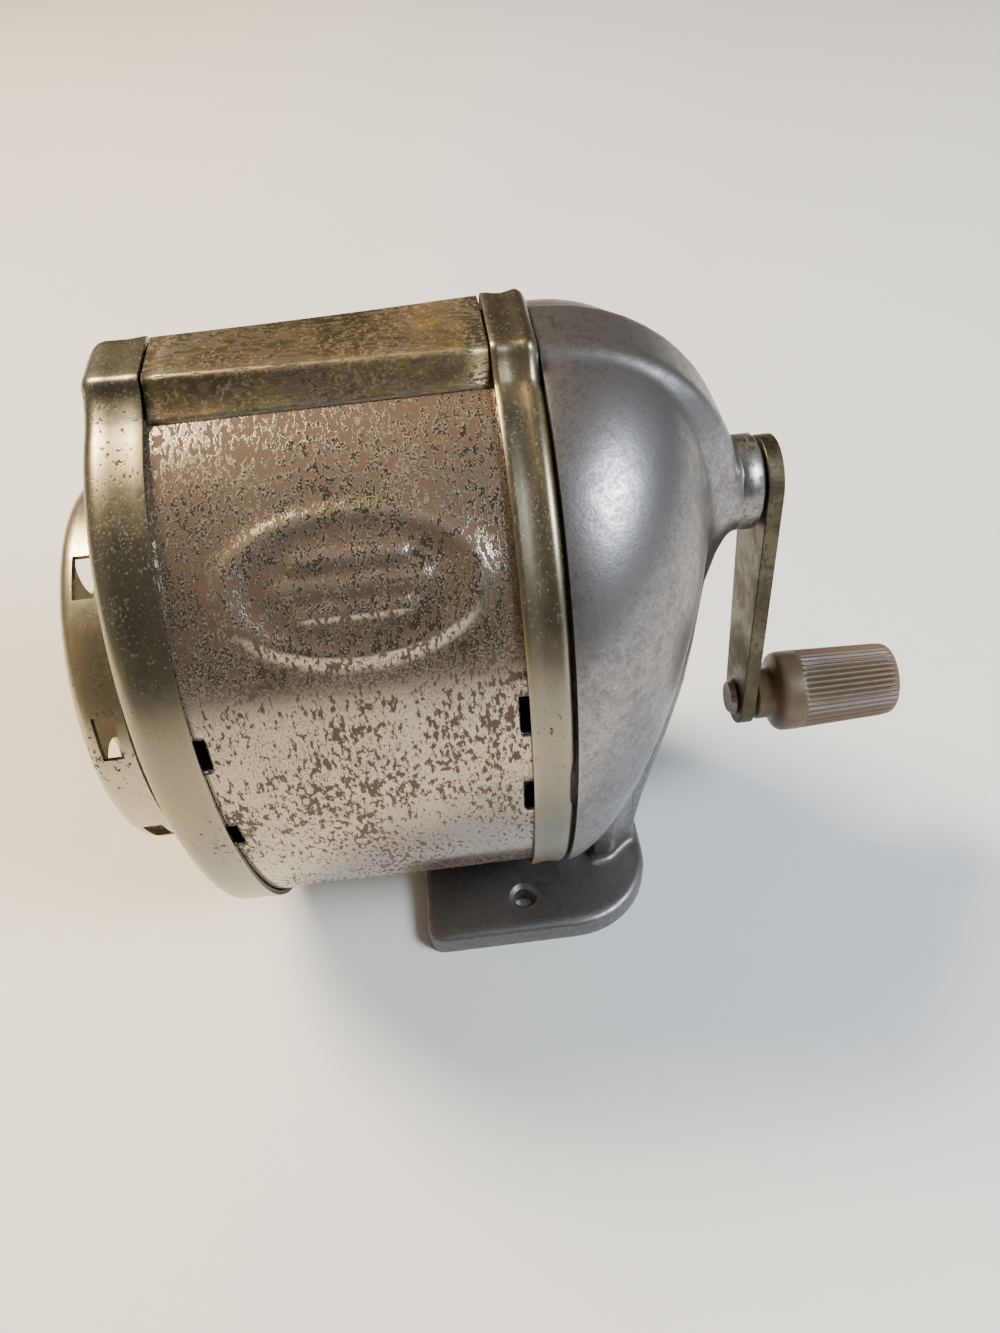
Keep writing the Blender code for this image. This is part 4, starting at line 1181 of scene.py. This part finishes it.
    def build_rear_band(self) -> None:
        """Build the rear band with its waist, its curled rear edge and its seam slot."""
        rows = [(0.0, 0.12), (0.12, 0.0), (0.9, 0.02), (1.8, 0.16), (2.8, 0.24), (3.8, 0.12), (4.5, 0.0),
                (4.9, 0.06), (5.25, 0.22), (5.55, 0.48), (5.78, 0.80), (5.9, 1.10)]
        rings = self.belt_rings(rows, 0.0)

        def cut(level: int, index: int) -> bool:
            """Leave open the slot in the rear edge."""
            middle = (rings[level][index] + rings[level][(index + 1) % len(rings[0])]) / 2
            return level >= 8 and self.in_slot(self.side_turn(middle.y, middle.z), (self.seam_slot,))

        band = skin("band_rear", rings, BAND_PLATE, cut=cut)
        thicken(band, self.band - 0.15 * MM)
        ride(band, "drum", "nickel", "rear_band")

    def build(self) -> None:
        """Build every piece that rides on the drum."""
        self.build_sheet()
        self.build_channel()
        self.build_cap()
        self.build_rear_band()
        dress(("dial_spring",), SPRING_STEEL)
        dress(("dial_rivet",), RIVET_STEEL)
        dress(("entry_ferrule",), DIAL_PLATE)


@dataclass
class SizeDial:
    """The turning cup with eight pencil holes and eight windows in its rim."""

    radius: float = 29.4 * MM
    depth: float = 7.0 * MM
    sheet: float = 0.8 * MM
    holes: int = 8
    window_half: float = 6.7
    window_x: Point = (2.5 * MM, 5.5 * MM)

    def build(self) -> None:
        """Build and dress the dial."""
        low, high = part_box("size_dial")
        front = low.x
        centre = Vector((0.0, 0.0, (low.z + high.z) / 2))
        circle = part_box("entry_ferrule")
        reach = (circle[0].z + circle[1].z) / 2 - centre.z
        rows = [(self.radius - 9.0 * MM, 0.0), (self.radius - 3.2 * MM, 0.0), (self.radius - 2.2 * MM, 0.04 * MM),
                (self.radius - 1.35 * MM, 0.30 * MM), (self.radius - 0.65 * MM, 0.85 * MM),
                (self.radius - 0.2 * MM, 1.6 * MM), (self.radius, 2.5 * MM), (self.radius, 5.5 * MM),
                (self.radius, 6.4 * MM), (self.radius, self.depth)]
        profile = [(2.4 * MM, front)] + [(radius, front + along) for radius, along in rows]
        steps = 360

        def cut(level: int, index: int) -> bool:
            """Leave open the windows in the rim."""
            turn = (index + 0.5) * 360 / steps
            pitch = 360 / self.holes
            off = abs((turn % pitch) - pitch / 2)
            return level == 7 and off < self.window_half

        dial = turned("dial_cup", profile, DIAL_PLATE, centre, steps=steps, closed=False, cut=cut)
        if dial.data.polygons[0].normal.x > 0:
            dial.data.flip_normals()
        thicken(dial, self.sheet)
        settle(dial)
        for index in range(self.holes):
            turn = 2 * math.pi * index / self.holes
            middle = centre + Vector((0.0, reach * math.sin(turn), reach * math.cos(turn)))
            bore = (5.4 - 0.25 * index) * MM
            profile = [(0.0, front - 2 * MM), (bore, front - 2 * MM), (bore, front + 2 * MM), (0.0, front + 2 * MM)]
            combine(dial, turned("hole_solid", profile, DIAL_PLATE, middle, steps=40, closed=False))
        dial.data.set_sharp_from_angle(angle=math.radians(45))
        ride(dial, "dial", "nickel", "size_dial")


@dataclass
class Crank:
    """The flat crank arm with its rivet, and the ribbed handle that spins on it."""

    arm_thickness: float = 2.4 * MM
    hub_radius: float = 6.6 * MM
    end_radius: float = 4.8 * MM
    length: float = 40.1 * MM
    lean: float = math.radians(-12.2)
    ribs: int = 42
    rib_depth: float = 0.36 * MM

    def axle(self) -> Vector:
        """Return the spindle's centre at the arm's inner face."""
        low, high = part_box("drive_shaft")
        return Vector((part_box("crank_arm")[0].x, 0.0, (low.z + high.z) / 2))

    def pivot(self) -> Vector:
        """Return the handle's centre at the arm's inner face."""
        down = Matrix.Rotation(self.lean, 3, "X") @ Vector((0.0, 0.0, -self.length))
        return self.axle() + down

    def build_arm(self) -> None:
        """Build the arm's plate with rubbed edges and two holes."""
        slope = math.asin((self.hub_radius - self.end_radius) / self.length)
        outline = []
        for step in range(33):
            turn = -slope + (math.pi + 2 * slope) * step / 32
            outline.append((self.hub_radius * math.cos(turn), self.hub_radius * math.sin(turn)))
        for step in range(29):
            turn = math.pi + slope + (math.pi - 2 * slope) * step / 28
            outline.append((self.end_radius * math.cos(turn), self.end_radius * math.sin(turn) - self.length))
        turn_by = Matrix.Rotation(self.lean, 3, "X")
        axle = self.axle()
        rings = []
        for x in (0.0, self.arm_thickness):
            rings.append([axle + Vector((x, 0, 0)) + turn_by @ Vector((0.0, y, z)) for y, z in outline])
        arm = skin("arm_plate", rings, ARM_STEEL, ends=(True, True))
        arm.data.shade_flat()
        reach = [(0.0, axle.x - 3 * MM), (3.8 * MM, axle.x - 3 * MM), (3.8 * MM, axle.x + 6 * MM), (0.0, axle.x + 6 * MM)]
        combine(arm, turned("shaft_hole_solid", reach, ARM_STEEL, axle, steps=48, closed=False))
        reach = [(0.0, axle.x - 3 * MM), (2.4 * MM, axle.x - 3 * MM), (2.4 * MM, axle.x + 6 * MM), (0.0, axle.x + 6 * MM)]
        combine(arm, turned("pin_hole_solid", reach, ARM_STEEL, self.pivot(), steps=40, closed=False))
        soften(arm, 0.35 * MM, 3, 50.0)
        ride(arm, "crank", "old_steel", "crank_arm")

    def build_washer(self) -> None:
        """Build the peened ring that holds the arm on the shaft's end."""
        axle = self.axle()
        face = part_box("drive_shaft")[1].x
        profile = [(0.0, face + 0.0), (2.6 * MM, face), (3.3 * MM, face - 0.15 * MM), (4.3 * MM, axle.x + self.arm_thickness + 0.1 * MM),
                   (4.5 * MM, axle.x + self.arm_thickness - 0.2 * MM), (0.0, axle.x + self.arm_thickness - 0.2 * MM)]
        ring = turned("shaft_peening", profile, RIVET_STEEL, axle, steps=64, closed=False)
        ride(ring, "crank", "tool_steel")

    def build_grip(self) -> None:
        """Build the handle: neck, smooth collar, and a barrel of fine ribs."""
        low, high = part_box("handle_grip")
        start, end = low.x, high.x
        pivot = self.pivot()
        rows = [(2.4, 0.0, 0.0), (4.1, 0.0, 0.0), (4.4, 0.3, 0.0), (4.4, 2.5, 0.0), (4.9, 2.95, 0.0),
                (5.9, 3.3, 0.0), (6.55, 3.7, 0.0), (6.85, 4.2, 0.0), (6.95, 4.8, 0.0), (6.95, 7.0, 0.0),
                (6.93, 7.3, 0.0), (6.90, 7.6, 0.6), (6.88, 8.0, 1.0)]
        length = (end - start) / MM
        for share in (0.2, 0.4, 0.6, 0.8, 0.95):
            rows.append((6.88 - 0.55 * share, 8.0 + (length - 9.2) * share, 1.0))
        rows += [(6.2, length - 0.7, 0.8), (5.9, length - 0.2, 0.3), (5.4, length, 0.0), (4.2, length, 0.0),
                 (3.9, length - 0.3, 0.0), (3.9, length - 4.0, 0.0), (2.4, length - 4.0, 0.0)]
        steps = self.ribs * 8
        rings = []
        for radius, along, ribbed in rows + [rows[0]]:
            ring = []
            for step in range(steps):
                wave = math.cos(2 * math.pi * step * self.ribs / steps)
                groove = self.rib_depth * ribbed * (0.5 - 0.5 * wave) ** 1.6
                turn = 2 * math.pi * step / steps
                reach = radius * MM - groove
                ring.append(pivot + Vector((start + along * MM - pivot.x, reach * math.sin(turn), reach * math.cos(turn))))
            rings.append(ring)
        grip = skin("grip_barrel", rings, HANDLE_BROWN)
        weld(grip)
        grip.data.set_sharp_from_angle(angle=math.radians(50))
        ride(grip, "handle", "brown_plastic", "handle_grip")

    def build(self) -> None:
        """Build the crank's outer pieces and dress its inner ones."""
        self.build_arm()
        self.build_washer()
        self.build_grip()
        dress(("handle_rivet",), RIVET_STEEL)
        dress(("drive_shaft", "cutter_axle_upper", "cutter_axle_lower"), CUTTER_STEEL)
        dress(("cutter_carrier",), CAGE_STEEL)
        dress(("thrust_washer", "pencil_guide"), TURNED_BRONZE)


@dataclass
class CutterHead:
    """The two milling cutters and their pinions."""

    def build(self) -> None:
        """Dress the cutters, whose meshes stay as they are."""
        dress(("cutter_upper", "cutter_lower"), CUTTER_STEEL)
        dress(("pinion_upper", "pinion_lower"), CAGE_STEEL)


# ------------------------------------------------------------------ stage

@dataclass
class Studio:
    """The pale floor, the soft lights and the camera."""

    floor_half: float = 2.5
    camera_place: tuple[float, float, float] = (-0.008645, -0.116868, 0.165865)
    camera_right: tuple[float, float, float] = (0.99258, -0.10648, -0.05877)
    camera_up: tuple[float, float, float] = (0.11932, 0.75908, 0.63997)
    lens: float = 25.90
    shift: Point = (0.0097, 0.0488)

    def build_floor(self) -> None:
        """Build the floor under the foot."""
        half = self.floor_half
        rings = [[Vector((x, y, 0.0)) for x in (-half, half)] for y in (half, -half)]
        floor = skin("floor", rings, TABLE_PALE, around=False)
        if floor.data.polygons[0].normal.z < 0:
            floor.data.flip_normals()

    def add_light(self, name: str, place: Sequence[float], size: float, power: float,
                  colour: Sequence[float]) -> None:
        """Add one square soft light aimed at the drum.

        Args:
            name: Its name.
            place: Where it hangs.
            size: Its side in metres.
            power: Its watts.
            colour: Its colour.
        """
        data = bpy.data.lights.new(name, "AREA")
        data.shape = "SQUARE"
        data.size = size
        data.energy = power
        data.color = colour
        item = bpy.data.objects.new(name, data)
        bpy.context.scene.collection.objects.link(item)
        item.location = place
        aim = Vector((-0.01, 0.0, 0.05)) - Vector(place)
        item.rotation_euler = aim.to_track_quat("-Z", "Y").to_euler()

    def build_lights(self) -> None:
        """Hang the lights and set the room's tone: dark in front and overhead, lighter and cool to the right, lighter
        and warm to the left, dim brown behind.
        """
        self.add_light("lamp", (-0.50, 0.34, 0.84), 0.32, 21.0, (1.0, 0.83, 0.57))
        self.add_light("window", (0.68, -0.40, 0.74), 0.34, 15.0, (0.80, 0.90, 1.0))
        world = bpy.data.worlds.new("room")
        world.use_nodes = True
        graph = Graph(world.node_tree)
        direction = graph.apart(graph.add("TexCoord").outputs["Generated"])
        right = graph.span(direction[0], 0.05, 0.95)
        behind = graph.span(direction[1], 0.15, 0.95)
        left = graph.span(direction[0], -0.15, -0.8)
        tone = graph.blend(right, (0.105, 0.098, 0.088, 1.0), (0.30, 0.33, 0.37, 1.0))
        tone = graph.blend(left, tone, (0.34, 0.30, 0.22, 1.0))
        tone = graph.blend(behind, tone, (0.15, 0.132, 0.10, 1.0))
        background = world.node_tree.nodes["Background"]
        graph.feed(background.inputs["Color"], tone)
        background.inputs["Strength"].default_value = 1.0
        bpy.context.scene.world = world

    def build_camera(self) -> None:
        """Place the camera."""
        data = bpy.data.cameras.new("camera")
        data.sensor_width = 36.0
        data.lens = self.lens
        data.shift_x, data.shift_y = self.shift
        data.clip_start = 0.005
        item = bpy.data.objects.new("camera", data)
        bpy.context.scene.collection.objects.link(item)
        right, up = Vector(self.camera_right), Vector(self.camera_up)
        turn = Matrix((right, up, right.cross(up))).transposed()
        item.matrix_world = Matrix.Translation(Vector(self.camera_place)) @ turn.to_4x4()
        bpy.context.scene.camera = item

    def build(self) -> None:
        """Build the whole stage."""
        self.build_floor()
        self.build_lights()
        self.build_camera()


def main() -> None:
    """Build every sub-assembly in order and report its pieces."""
    logging.basicConfig(level=logging.INFO, format="%(message)s")
    for assembly in (Studio(), Housing(), Drum(), SizeDial(), Crank(), CutterHead()):
        LOG.info("building %s", type(assembly).__name__)
        assembly.build()


if __name__ == "__main__":
    main()
